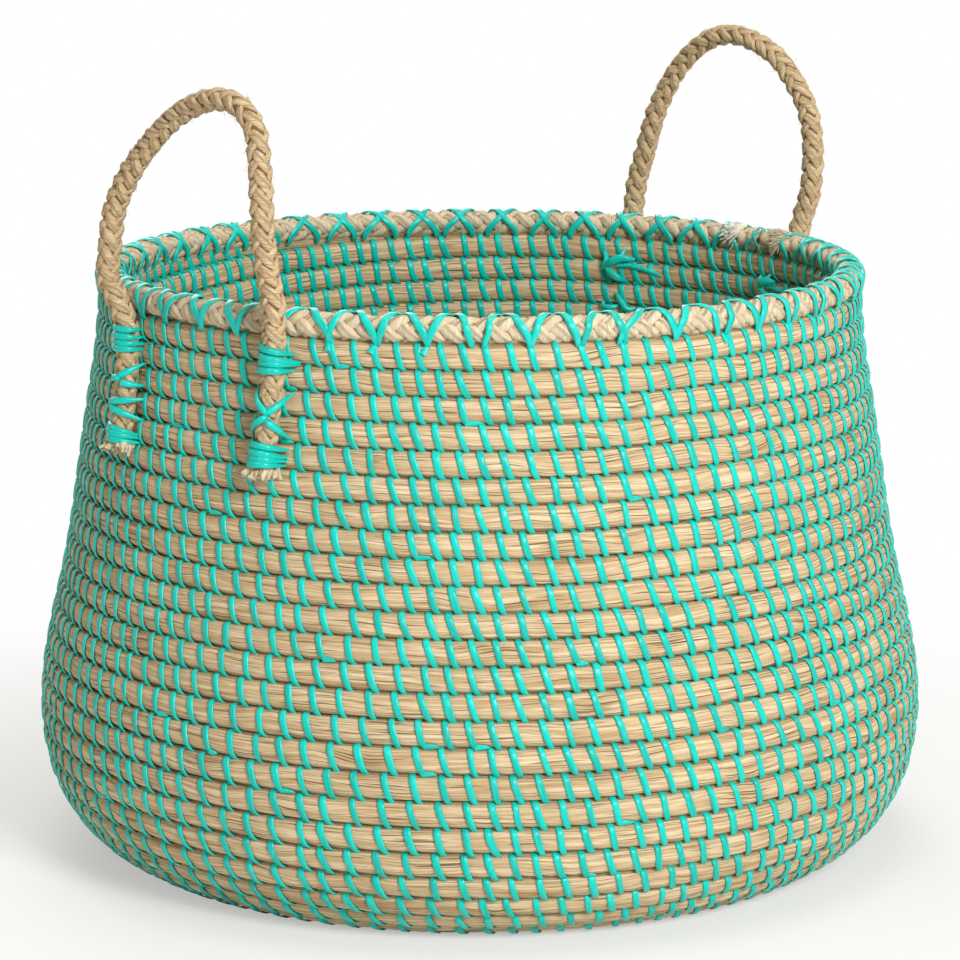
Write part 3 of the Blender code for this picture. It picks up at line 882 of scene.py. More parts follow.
    def bundle(self, name: str, first: float, last: float) -> bpy.types.Object:
        """Build a length of the bundle.

        Args:
            name: The piece's name.
            first: The turn where it starts.
            last: The turn where it ends.

        Returns:
            The new piece.
        """
        turned = self._rings_between(first, last)
        run = self._run(turned)
        angle = np.array(BUNDLE_ANGLES)
        sine, cosine = np.sin(np.radians(angle)), np.cos(np.radians(angle))
        out, up = (np.sign(way) * np.abs(way) ** self.squareness for way in (sine, cosine))
        blades, drift = self._blades(run, len(angle))
        drawn = self._drawn(run, angle)
        ridges = self.ridge * blades * (1 - self.pinch_kept * drawn) - self.pinch * drawn
        free = 1 - self.held * np.abs(cosine) ** 3
        swells = np.random.default_rng(self.seed + 2).normal(0, 1, int(self.runs[-1] / self.swell_length) + 3)
        swelled = 1 + self.swell * noise_along(run / self.swell_length, swells)
        scale = swelled[:, None] * (1 + ridges * free / self.half_depth)
        points = lifted(self._at(turned[:, None], out * scale, up * scale), self.floor_gap)
        around = np.radians(angle) * self.half_depth + drift[:, None]
        skin = Skin(name)
        skin.add(points[None], joined(run[:, None], around, 0.0)[None])
        return skin.build(Slot.SEAGRASS, self.finishes.seagrass)

    def _loops(self, stitches: Array, rolled: np.random.Generator) -> Laid:
        """Lay each stitch round the bundle and into the course below.

        Args:
            stitches: Their turns, one to a row.
            rolled: Makes the random numbers.

        Returns:
            The rings and their fibre coordinates.
        """
        count = len(stitches)
        angle, out, up, below, lead = (row[None, :] for row in np.array(STITCH_LOOP).T)
        lean = 1 + rolled.normal(0, STITCH_LEAN, (count, 1))
        phase = np.radians(angle[0])
        wander = rolled.normal(0, STITCH_WANDER, (count, 2)) @ np.stack([np.sin(phase), np.sin(2 * phase)])
        radius = np.maximum(self.route.radius_at(stitches), 0.01)
        turned = stitches + np.degrees((lead * lean + wander) / radius)
        proud = rolled.uniform(*STITCH_PROUD, (count, 1))
        own = self._at(turned, out * proud, np.where(below > 0, UNDER_BUNDLE, up))
        lower = self._at(np.minimum(turned + 360, self.turns[-1]), out * proud, up)
        dives = (below > 0) & (turned + 360 < self.turns[-1] - self.sewing.held_deg)
        points = np.where(dives[..., None], lower, own)
        widths = self.strip.widths(rolled, count) * np.interp(angle, *STITCH_WIDTHS)
        return self.strip.around(points, self._at(turned, 0.0 * out, 0.0 * up), widths)

    def _tails(self, stitches: Array, rolled: np.random.Generator) -> Laid:
        """Lay the tails of some strips, tucked in beside their stitches.

        Args:
            stitches: The turns of all the stitches, one to a row.
            rolled: Makes the random numbers.

        Returns:
            The rings and their fibre coordinates.
        """
        count = len(stitches)
        tails = stitches[np.sort(rolled.choice(count, max(count // self.tail_every, 1), replace=False))]
        share = np.linspace(0, 1, 7)[None, :]
        side = np.where(rolled.uniform(size=(len(tails), 1)) < 0.7, 1.0, -1.0)
        along = 0.0014 + rolled.uniform(0.004, 0.0085, (len(tails), 1)) * share
        turned = tails + np.degrees(along / np.maximum(self.route.radius_at(tails), 0.02))
        arch = np.sin(math.pi * share)
        lift = side * (0.76 + 0.06 * arch)
        points = self._at(turned, lift, -0.97 + 0.05 * arch)
        centres = self._at(turned, lift * 0.3, -0.7 + 0 * share)
        return self.strip.around(points, centres, 0.9 - 0.75 * share ** 3)

    def sewn(self, name: str, first: float, last: float) -> bpy.types.Object:
        """Build the stitches between two turns, each a loop round the bundle, and the tails of some.

        Args:
            name: The piece's name.
            first: The turn where they start.
            last: The turn where they end.

        Returns:
            The new piece.
        """
        rolled = np.random.default_rng(self.seed + 360 + int(first))
        stitches = self.stitches[(self.stitches >= first) & (self.stitches < last)][:, None]
        skin = Skin(name)
        for lay_strips in (self._loops, self._tails):
            rings, lay = lay_strips(stitches, rolled)
            skin.add(lifted(rings), lay)
        return skin.build(Slot.PLASTIC, self.finishes.plastic)

    def build(self) -> None:
        """Build the wall and the base and seat them on the frame."""
        butt = 360.0 * self.route.courses - self.route.step_deg
        edges = np.linspace(0, butt, self.wall_parts + 1)
        edges[0] = self.first_turn
        for part, (first, last) in enumerate(zip(edges, edges[1:]), 1):
            wall = self.bundle(f"seagrass_wall_{part}", first, last)
            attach(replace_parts(wall, "wall_coil"), "basket")
            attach(self.sewn(f"wall_stitches_{part}", first, last), "basket")
        base = self.bundle("seagrass_base", butt, self.turns[-1])
        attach(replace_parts(base, "base_coil"), "basket")
        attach(self.sewn("base_stitches", butt, self.turns[-1]), "basket")


STRANDS = 8


@dataclass(frozen=True)
class Plait:
    """Strands plaited round, half of them each way, each over two and under two.

    Attributes:
        radius: The rope's outer radius.
        turn_length: How far a strand runs along the rope in one turn round it.
        width: Across a strand.
        thickness: Of a strand, square to the rope.
        swing: How far a strand moves in and out.
        dwell: The higher, the longer it stays out or in.
        spread: How much wider it is where it passes over, as a share.
        uneven: How far its girth varies, as a share.
        uneven_spots: At how many places.
        twist_length: How far along a strand its two yarns turn once round each other.
        lobe: How far the yarns stand out, as a share.
        core_share: The radius of the core that closes the rope's middle, dark with painted shade, as a share.
        core_depth: What the fibre coordinates give as the core's depth, which paints it in the colour of the
            painted shade.
        step: Between a strand's rings.
        sides: Of a strand.
        seed: Starts the random numbers.
    """

    radius: float
    turn_length: float = 0.034
    width: float = 0.0047
    thickness: float = 0.0036
    swing: float = 0.0009
    dwell: float = 1.4
    spread: float = 0.10
    uneven: float = 0.06
    uneven_spots: int = 40
    twist_length: float = 0.0125
    lobe: float = 0.13
    core_share: float = 0.76
    core_depth: float = 0.4
    step: float = 0.0013
    sides: int = 12
    seed: int = 1

    def strands(
        self, path: Array, outward: Array, swell: Array | float = 1.0,
        turned: Array | float = 0.0,
    ) -> Laid:
        """Plait strands along a path.

        Args:
            path: The rope's middle, in even steps.
            outward: The direction that the first strand starts in, at each point or for all.
            swell: The rope's girth at each point, as a share.
            turned: How far the rope is turned round there, in radians.

        Returns:
            The rings and their fibre coordinates.
        """
        rolled = np.random.default_rng(self.seed)
        along = arc_lengths(path)
        tangent = unit(np.gradient(path, axis=0))
        normal = square_to(np.broadcast_to(outward, path.shape), tangent)
        cross = np.cross(tangent, normal)
        middle = self.radius - self.swing - self.thickness / 2
        crossing = STRANDS * along / self.turn_length
        yarns = math.tau * along / self.twist_length
        round_angle = np.arange(self.sides) / self.sides * math.tau
        spots = np.linspace(0, along[-1], self.uneven_spots)
        rings, lays = [], []
        for strand in range(STRANDS):
            way = 1 if strand < STRANDS // 2 else -1
            phase = (way * crossing + 2 * strand - (0.5 if way > 0 else 2.5)) * math.pi / 2
            over = np.tanh(self.dwell * np.cos(phase)) / math.tanh(self.dwell)
            angle = way * crossing * math.tau / STRANDS + strand * math.pi / 2 + turned
            radial = normal * np.cos(angle)[:, None] + cross * np.sin(angle)[:, None]
            reach = (middle + self.swing * over) * swell
            centre = path + radial * np.broadcast_to(reach, along.shape)[:, None]
            run = unit(np.gradient(centre, axis=0))
            lift = square_to(radial, run)
            side = np.cross(run, lift)
            girth = 1 + self.uneven * np.interp(along, spots, rolled.normal(0, 1, self.uneven_spots))
            wide = (self.width / 2 * girth * (1 + self.spread * over))[:, None]
            thick = (self.thickness / 2 * girth)[:, None]
            lobes = 1 + self.lobe * np.cos(2 * round_angle - way * 2 * yarns[:, None] - strand)
            ring = (
                centre[:, None, :] + lift[:, None, :] * (thick * lobes * np.cos(round_angle))[..., None]
                + side[:, None, :] * (wide * lobes * np.sin(round_angle))[..., None]
            )
            rings.append(ring)
            lays.append(joined(
                arc_lengths(centre)[:, None] + 3.1 * strand,
                (round_angle - way * yarns[:, None]) * self.width / 2 + 0.3 * strand,
                np.linalg.norm(ring - path[:, None, :], axis=-1) / self.radius,
            ))
        # The core: a tube dark with painted shade, closing the rope's middle where only shade lies between
        # the strands.
        cosine, sine = np.cos(round_angle)[:, None], np.sin(round_angle)[:, None]
        core = normal[:, None, :] * cosine + cross[:, None, :] * sine
        rings.append(path[:, None, :] + core * self.radius * self.core_share)
        lays.append(np.zeros(core.shape) + self.core_depth)
        return np.stack(rings), np.stack(lays)


@dataclass(frozen=True)
class Fibres:
    """Loose ends of fibre: short, thin and curved.

    Attributes:
        thickness: Of a fibre.
        depth: What the fibre coordinates give as its depth: above 1, it is bleached.
        tip_share: Its tip's thickness as a share of its root's.
        shortest: The shortest one's length as a share of the longest's.
        aside: A direction that none of them takes.
        shift: Moves each one's pattern along, so that no two look alike.
        rings: Of each fibre.
        sides: Of each fibre.
        seed: Starts the random numbers.
    """

    thickness: float = 0.0004
    depth: float = 1.0
    tip_share: float = 0.3
    shortest: float = 0.35
    aside: tuple[float, float, float] = (0.31, 0.83, 0.47)
    shift: float = 0.11
    rings: int = 6
    sides: int = 4
    seed: int = 2

    def spray(
        self, roots: Array, ways: Array, length: float, spread: float, droop: float
    ) -> Laid:
        """Grow fibres from their roots.

        Args:
            roots: Where they start.
            ways: The directions that they set out in.
            length: Of the longest.
            spread: How far they stray from their directions.
            droop: How far their tips curl, as a share of the length.

        Returns:
            The rings and their fibre coordinates.
        """
        rolled = np.random.default_rng(self.seed)
        count = len(roots)
        start = unit(ways + rolled.normal(0, spread, (count, 3)))
        curl = rolled.normal(0, droop, (count, 3)) + np.array([0.0, 0.0, -droop / 2])
        share = np.linspace(0, 1, self.rings)[None, :, None]
        reach = length * rolled.uniform(self.shortest, 1.0, (count, 1, 1))
        path = roots[:, None, :] + reach * (start[:, None, :] * share + curl[:, None, :] * share ** 2)
        tangent = unit(np.gradient(path, axis=1))
        side = unit(np.cross(tangent, np.array(self.aside)))
        lift = np.cross(tangent, side)
        angle = np.arange(self.sides) / self.sides * math.tau
        thick = self.thickness / 2 * (1 - (1 - self.tip_share) * share)[..., None]
        rings = path[:, :, None, :] + thick * (
            side[:, :, None, :] * np.cos(angle)[:, None] + lift[:, :, None, :] * np.sin(angle)[:, None]
        )
        along = share * length + np.arange(count)[:, None, None] * self.shift
        return rings, joined(along, angle * self.thickness, self.depth)


@dataclass(frozen=True)
class Tuft:
    """Frayed fibres on the rim rope.

    Attributes:
        end_deg: The azimuth where they start.
        length: Of the longest.
        depth: What the fibre coordinates give as their depth.
        top: Where they start round the rope, in half turns from its outer side over its top.
        thickness: Of a fibre.
        stray: How far they stray.
        count: How many there are.
    """

    end_deg: float
    length: float
    depth: float
    top: float
    thickness: float
    stray: float
    count: int = 170


# The strip laced over the rim: the angles of its corners round the rope, from the outer side over the top,
# and how far along it lies at each angle, in shares of the gap between two holes.
LACING_TURN = (150, 140, 128, 116, *np.linspace(104, -104, 17), -116, -128, -140, -150)
LACING_SHARES = ((-150, -128, -104, -60, 0, 50, 116, 150), (0.5, 0.49, 0.44, 0.33, 0.18, 0.0, -0.33, -0.36))
# Where it leaves the rope for its hole on the outer side: out from the rope's middle and up.
LACING_FEET = ((0.0026, -0.0076), (0.0046, -0.0071), (0.0057, -0.0056), (0.0063, -0.0036))


@dataclass
class Rim(Piecework):
    """The rope laid on the top course, and the strip laced over it.

    Attributes:
        height: Of the rope's middle.
        butt_deg: The azimuth where the rope's ends meet.
        butt_gap_deg: From each end to that azimuth.
        bump_deg: The azimuth where the rope swells.
        bump_reach_deg: How far from it.
        swells: How much thicker the rope is between two holes of the lacing and at the bump, as shares.
        bed: The core between rope and coil, dark with painted shade: half its width and height, and its
            middle under the rope's.
        lacings: How many points the lacing has on the outer side.
        first_deg: The azimuth of one of them.
        plait: The rope.
        tufts: Its frayed fibres.
        strip: What the lacing is made of.
        seed: Starts the random numbers.
    """

    height: float = 0.2800
    butt_deg: float = -11.0
    butt_gap_deg: float = 0.4
    bump_deg: float = 275.5
    bump_reach_deg: float = 1.2
    swells: tuple[float, float] = (0.05, 0.20)
    bed: tuple[float, float, float] = (0.0024, 0.0017, 0.0060)
    lacings: int = 50
    first_deg: float = 223.0
    plait: Plait = Plait(
        radius=0.0065, turn_length=0.038, width=0.0056, thickness=0.0040, swing=0.0012, step=0.0016, seed=3
    )
    tufts: tuple[Tuft, ...] = (
        Tuft(-6.0, 0.0078, 1.6, 0.66, 0.0014, 0.06),
        Tuft(-16.6, 0.0050, 1.13, 0.60, 0.0009, 0.16),
        Tuft(-18.2, 0.0070, 1.0, 0.70, 0.0009, 0.16),
    )
    strip: Strip = Strip(width=0.0032, thickness=0.0008)
    seed: int = 11

    def _ring(self, azimuth_deg: Array, out: Array | float, up: Array | float) -> Array:
        """Return points round the rope's middle."""
        return polar(self.route.mouth_radius + out, azimuth_deg, self.height + up)

    def rope(self) -> None:
        """Plait the rope, bed it on the top course, butt its ends and let them fray."""
        steps = int(math.tau * self.route.mouth_radius / self.plait.step)
        gap = self.butt_gap_deg
        azimuth = np.linspace(self.butt_deg + gap, self.butt_deg + 360 - gap, steps)
        from_v = (azimuth - self.first_deg) / 360 * self.lacings
        bump = bell((azimuth - self.bump_deg) / self.bump_reach_deg)
        swell = 1 + self.swells[0] * np.cos(math.tau * (from_v - 0.5)) + self.swells[1] * bump
        skin = Skin("rim_rope_plait")
        skin.add(*self.plait.strands(self._ring(azimuth, 0.0, 0.0), polar(1.0, azimuth, 0.0), swell))
        # The bed: a tube dark with painted shade, filling the groove between the rope and the top course.
        turned = np.arange(8) / 8 * math.tau
        wide, high, under = self.bed
        bed = self._ring(azimuth[:, None], wide * np.cos(turned), high * np.sin(turned) - under)
        skin.add(bed[None], np.full(bed.shape, self.plait.core_depth))
        self._fray(skin)
        rope = skin.build(Slot.RIM_ROPE, self.finishes.rim_rope)
        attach(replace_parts(rope, "rim_rope"), "basket")

    def _fray(self, skin: Skin) -> None:
        """Add the frayed fibres to the rope's skin."""
        rolled = np.random.default_rng(self.seed)
        for place, tuft in enumerate(self.tufts):
            ends = tuft.end_deg + rolled.normal(0.0, 0.5, tuft.count)
            angle = math.pi * rolled.normal(tuft.top, 0.10, tuft.count)
            reach = self.plait.radius * rolled.uniform(0.98, 1.10, tuft.count)
            cosine, sine = np.cos(angle), np.sin(angle)
            roots = self._ring(ends, reach * cosine, reach * sine)
            fall = polar(0.12 * cosine - 0.8 * sine, ends, 0.12 * sine + 0.8 * cosine)
            ways = polar(1.0, ends + 90, 0.0) * 0.6 + fall
            fibres = Fibres(tuft.thickness, tuft.depth, tip_share=0.45, seed=self.seed + place)
            skin.add(*fibres.spray(roots, ways, tuft.length, tuft.stray, tuft.stray * 0.75))

    def lacing(self) -> None:
        """Lace the strip: two passes of opposite hand that share their holes on the outer side."""
        rolled = np.random.default_rng(self.seed + 3)
        pitch = 360 / self.lacings
        wrap = np.array(LACING_TURN)
        feet = np.array(LACING_FEET)
        reach = self.plait.radius + 0.0002
        angle = np.radians(wrap[len(feet):-len(feet)])
        out = np.concatenate([feet[:, 0], reach * np.sin(angle), -feet[::-1, 0]])
        up = np.concatenate([feet[:, 1], reach * np.cos(angle), feet[::-1, 1]])
        shares = np.interp(-wrap, *LACING_SHARES)
        skin = Skin("rim_lacing")
        middle = self.first_deg + (np.arange(self.lacings) + 0.5) * pitch
        stray = rolled.normal(0, 0.05, self.lacings + 1)
        for hand in (-1, 1):
            hole = stray[: self.lacings] if hand < 0 else stray[1:]
            inner = rolled.normal(0, 0.06, (self.lacings, 1))
            drift = hole[:, None] * smooth((wrap + 20) / 120) + inner * smooth(-wrap / 90)
            drift = drift + hand * rolled.uniform(-0.12, 0.10, (self.lacings, 1)) * smooth((wrap - 40) / 60)
            azimuth = middle[:, None] + pitch * (hand * shares + drift)
            lift = 1 + (0.055 if hand > 0 else 0.0) * bell((wrap + 50) / 26)
            points = self._ring(azimuth, lift * out, lift * up)
            centres = self._ring(azimuth, 0.0 * out, np.minimum(up, 0.0) * 0.8)
            widths = self.strip.widths(rolled, self.lacings) * np.interp(np.abs(wrap), (100, 150), (1, 0.6))
            from_butt = (azimuth - self.butt_deg + 180) % 360 - 180
            widths = widths * (1 - 0.5 * bell(from_butt / 4.5))
            skin.add(*self.strip.around(points, centres, widths))
        holes = self.first_deg + (np.arange(self.lacings) + stray[: self.lacings]) * pitch
        self._tails(skin, holes[rolled.uniform(size=self.lacings) < 0.3][:, None], rolled)
        lacing = skin.build(Slot.PLASTIC, self.finishes.plastic)
        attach(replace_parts(lacing, "rim_lashing"), "basket")

    def _tails(self, skin: Skin, holes: Array, rolled: np.random.Generator) -> None:
        """Let a tail of strip stand out of some holes on the outer side.

        Args:
            skin: The lacing's skin.
            holes: The azimuths of these holes, one to a row.
            rolled: Makes the random numbers.
        """
        share = np.linspace(0, 1, 5)[None, :]
        drop = -0.0052 + 0.0040 * share
        azimuth = holes + rolled.normal(0, 0.6, (len(holes), 1)) * share
        points = self.route.wall_point(azimuth, drop, 0.0050 + 0.0012 * share)
        centres = self.route.wall_point(azimuth, drop, 0.0 * share)
        skin.add(*self.strip.around(points, centres, 0.45 + 0.6 * share))

    def build(self) -> None:
        """Build the rope and its lacing."""
        self.rope()
        self.lacing()


class Lacing(Enum):
    """The strips that cross a leg between its bands, in millimetres from the leg's middle and below the rim.

    Each starts where it is pinched into the rope and ends at the wall: across and drop, across and drop.
    """

    CHEVRONS = (
        (2.6, 24.2, 7.6, 16.9), (3.7, 27.0, 7.6, 27.4), (2.0, 25.0, -8.6, 26.4),
        (-3.2, 37.4, 9.8, 33.4), (-2.8, 38.6, 9.2, 43.2), (-4.0, 37.8, -8.6, 38.6),
    )
    CROSS = ((2.1, 29.8, 8.6, 19.4), (2.9, 33.0, 8.8, 40.0), (1.6, 30.0, -8.4, 15.0), (1.4, 30.8, -8.8, 42.0))


# The strip tied off inside the wall behind a leg: for each of its bends the corners, across, down the wall
# and in from it, in millimetres, and the share of the strip's width. The bow comes first, then the curls.
KNOT_BENDS = (
    ((-10.5, 10.6, 0.4), (-6.0, 8.4, 3.0), (0.5, 4.0, 4.2), (4.6, -0.8, 0.6), 0.9),
    ((-7.5, 9.4, 1.0), (-3.5, 6.0, 4.4), (3.0, 3.6, 4.0), (9.6, 4.4, 1.0), 1.35),
    ((-6.6, 8.0, 1.6), (-4.0, 10.6, 3.8), (-0.5, 13.6, 3.0), (4.0, 15.8, 0.4), 1.25),
    ((-7.6, 1.0, 0.2), (-7.0, 4.0, 2.2), (-6.0, 7.6, 3.2), (-4.6, 10.8, 1.6), 0.9),
    ((0.0, 8.0, 2.4), (6.0, 7.8, 1.0), (19.0, 9.8, 0.6), (28.0, 13.6, 0.2), 0.9),
    ((-9.4, 27.4, 0.4), (-8.6, 29.8, 2.6), (-4.0, 30.6, 2.4), (-1.0, 29.4, 0.2), 0.9),
    ((-2.0, 22.8, 0.2), (1.0, 26.6, 2.0), (5.0, 30.6, 2.0), (9.0, 31.2, 0.2), 1.0),
)
KNOT_MIDDLE = (0.0, 0.012, 0.0)
KNOT_POINTS = 12


@dataclass
class Leg(Piecework):
    """One end of a handle's rope, strapped to the wall.

    Attributes:
        name: The leg's name in the frame, without its ending.
        azimuths_deg: Where it stands at the rim and at its lower end.
        lacing: How the strip crosses it.
        rope_radius: Of the handle's rope.
        out: From the coil's middle to the rope's.
        end_drop: Of the rope's end below the top course.
        upper_lefts: The upper band's drops on its left, in millimetres.
        upper_rights: Where its strips dive into the wall on the right: across and drop.
        lower_lefts: The same for the lower band.
        lower_rights: The same for the lower band.
        band_across: Where the bands start on the left, in millimetres.
        wall_depth: Where the wall lies, out from the rope's middle.
        squeeze: Where the strips draw the rope in: the drop and the reach, in millimetres, and the share.
        knot_share: The inner knot's size.
        strip: What holds the leg.
        seed: Starts the random numbers.
    """

    name: str
    azimuths_deg: tuple[float, float]
    lacing: Lacing
    rope_radius: float = 0.00575
    out: float = 0.0105
    end_drop: float = 0.0565
    upper_lefts: tuple = (-2.8, 1.6, 5.2, 8.9)
    upper_rights: tuple = ((7.8, 2.0), (10.2, 5.1), (10.0, 6.0), (7.4, 9.2))
    lower_lefts: tuple = (43.4, 46.6, 49.8, 52.8)
    lower_rights: tuple = ((9.4, 45.6), (9.0, 48.8), (8.4, 50.4), (7.6, 52.6))
    band_across: float = -8.6
    wall_depth: float = -0.0046
    squeeze: tuple = ((6.0, 6.0, 0.08), (30.5, 3.6, 0.20), (48.5, 5.0, 0.08))
    knot_share: float = 1.0
    strip: Strip = Strip(
        width=0.0033, thickness=0.0015,
        outline_shares=(
            (-1.0, 0.0), (-0.88, 0.56), (-0.45, 0.9), (0.0, 1.0), (0.45, 0.9), (0.88, 0.56), (1.0, 0.0),
        ),
    )
    seed: int = 21

    def azimuth(self, drop: Array) -> Array:
        """Return where the leg stands at a drop down the wall."""
        top, foot = self.azimuths_deg
        return top + (foot - top) * drop / self.end_drop

    def line(self) -> Array:
        """Return the leg's route, from its end up to the rim."""
        drops = np.array([self.end_drop, 0.046, 0.034, 0.022, 0.010, 0.001])
        return self.route.wall_point(self.azimuth(drops), drops, self.out)

    def _around(self, across: Array, drop: Array, lift: Array) -> Array:
        """Return points near the leg.

        Args:
            across: Along the wall, to the right as seen from outside.
            drop: Down the wall from the top course.
            lift: Out from the rope's middle.

        Returns:
            The points.
        """
        azimuth = self.azimuth(drop)
        aside = across[..., None] * polar(1.0, azimuth + 90, 0.0)
        return self.route.wall_point(azimuth, drop, self.out + lift) + aside

    def _strap(self, left: tuple, right: tuple, lift: float, pinched: bool) -> Laid:
        """Lay a strip over the rope, straight from where it leaves the rope to where it dives into the wall.

        Args:
            left: Where it starts: across and drop.
            right: Where it ends.
            lift: How far it lies off the rope.
            pinched: Whether it starts in the rope and not at the wall.

        Returns:
            The rings and their fibre coordinates.
        """
        reach, wall = self.rope_radius + lift, self.wall_depth

        def leaves(across: float) -> float:
            """Return the angle at which the strip leaves the rope for the wall."""
            turned = math.acos(reach / math.hypot(across, wall))
            return math.atan2(across, wall) - math.copysign(turned, across)

        first = math.asin(left[0] / reach) if pinched else leaves(left[0])
        angle = np.linspace(first, leaves(right[0]), 11)
        head = [(left[0], reach * math.cos(first) - deep) for deep in (0.0036, 0.0012)]
        if not pinched:
            head = [(left[0] * 0.95, wall - 0.0040), (left[0], wall)]
        tail = [(right[0], wall), (right[0] * 0.97, wall - 0.0014)]
        turned = np.stack([reach * np.sin(angle), reach * np.cos(angle)], -1)
        across, out = np.vstack([head, turned, tail]).T
        along = arc_lengths(np.stack([across, out, 0 * out], -1))
        share = np.clip((along - along[1]) / (along[-2] - along[1]), 0, 1)
        drop = left[1] + (right[1] - left[1]) * share
        widths = np.interp(share, [0, 0.12, 0.66, 1], [0.7 if pinched else 0.9, 1, 1, 0.36])
        points = self._around(across, drop, out)
        centres = self._around(0 * across, drop, np.minimum(out, 0.0))
        return self.strip.around(points[None], centres[None], widths)

    def girth(self, points: Array) -> Array:
        """Return how far the strips draw the rope in at points of its middle, as shares of its girth.

        Args:
            points: The points.

        Returns:
            A share for each point.
        """
        drops = np.linspace(0, self.end_drop, 60)
        line = self.route.wall_point(self.azimuth(drops), drops, self.out)
        away = np.linalg.norm(points[:, None, :] - line[None], axis=-1)
        drop, near = drops[away.argmin(1)] * 1000, away.min(1) < 0.002
        drawn = sum(share * bell((drop - middle) / reach) for middle, reach, share in self.squeeze)
        return np.where(near, 1 - drawn, 1.0)

    def bands(self) -> None:
        """Wrap the two bands, cross the lacing over the rope and tie it off inside."""
        rolled = np.random.default_rng(self.seed)
        skin = Skin(f"{self.name}_strapping")
        for lefts, rights in ((self.upper_lefts, self.upper_rights), (self.lower_lefts, self.lower_rights)):
            for place, (left, right) in enumerate(zip(lefts, rights)):
                ends = np.array([(self.band_across, left), right]) / 1000 + rolled.normal(0, 0.0002, (2, 2))
                skin.add(*self._strap(*ends, 0.0001 + 0.0003 * (place % 2), False))
        for place, ends in enumerate(np.array(self.lacing.value) / 1000):
            skin.add(*self._strap(ends[:2], ends[2:], 0.0002 + 0.0003 * (place % 2), True))
        self._knot(skin)
        strapping = skin.build(Slot.PLASTIC, self.finishes.plastic)
        nodes = [f"{self.name}_{part}" for part in ("upper_band", "lower_band", "lacing", "tie_knot")]
        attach(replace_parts(strapping, *nodes), "basket")

    def _knot(self, skin: Skin) -> None:
        """Tie the strip off on the inner side: a bow, the tails of its strip and two curls below it.

        Args:
            skin: The strapping's skin.
        """
        rolled = np.random.default_rng(self.seed + 9)
        wall = -self.out - 0.0060
        shares = 0.35 + 0.65 * np.sin(math.pi * np.linspace(0, 1, KNOT_POINTS)) ** 0.5
        for *corners, width in KNOT_BENDS:
            bend = np.array(corners) / 1000 + rolled.normal(0, 0.0003, (4, 3))
            bend = (bend - KNOT_MIDDLE) * self.knot_share + KNOT_MIDDLE
            path = curve_through(bend, np.linalg.norm(bend[-1] - bend[0]) / KNOT_POINTS)
            path = path[np.linspace(0, len(path) - 1, KNOT_POINTS).astype(int)]
            across, drop, lift = -path[:, 0], path[:, 1], wall - path[:, 2]
            points = self._around(across, drop, lift)[None]
            centres = self._around(across, drop, np.full(across.shape, wall + 0.008))[None]
            skin.add(*self.strip.around(points, centres, width * shares))


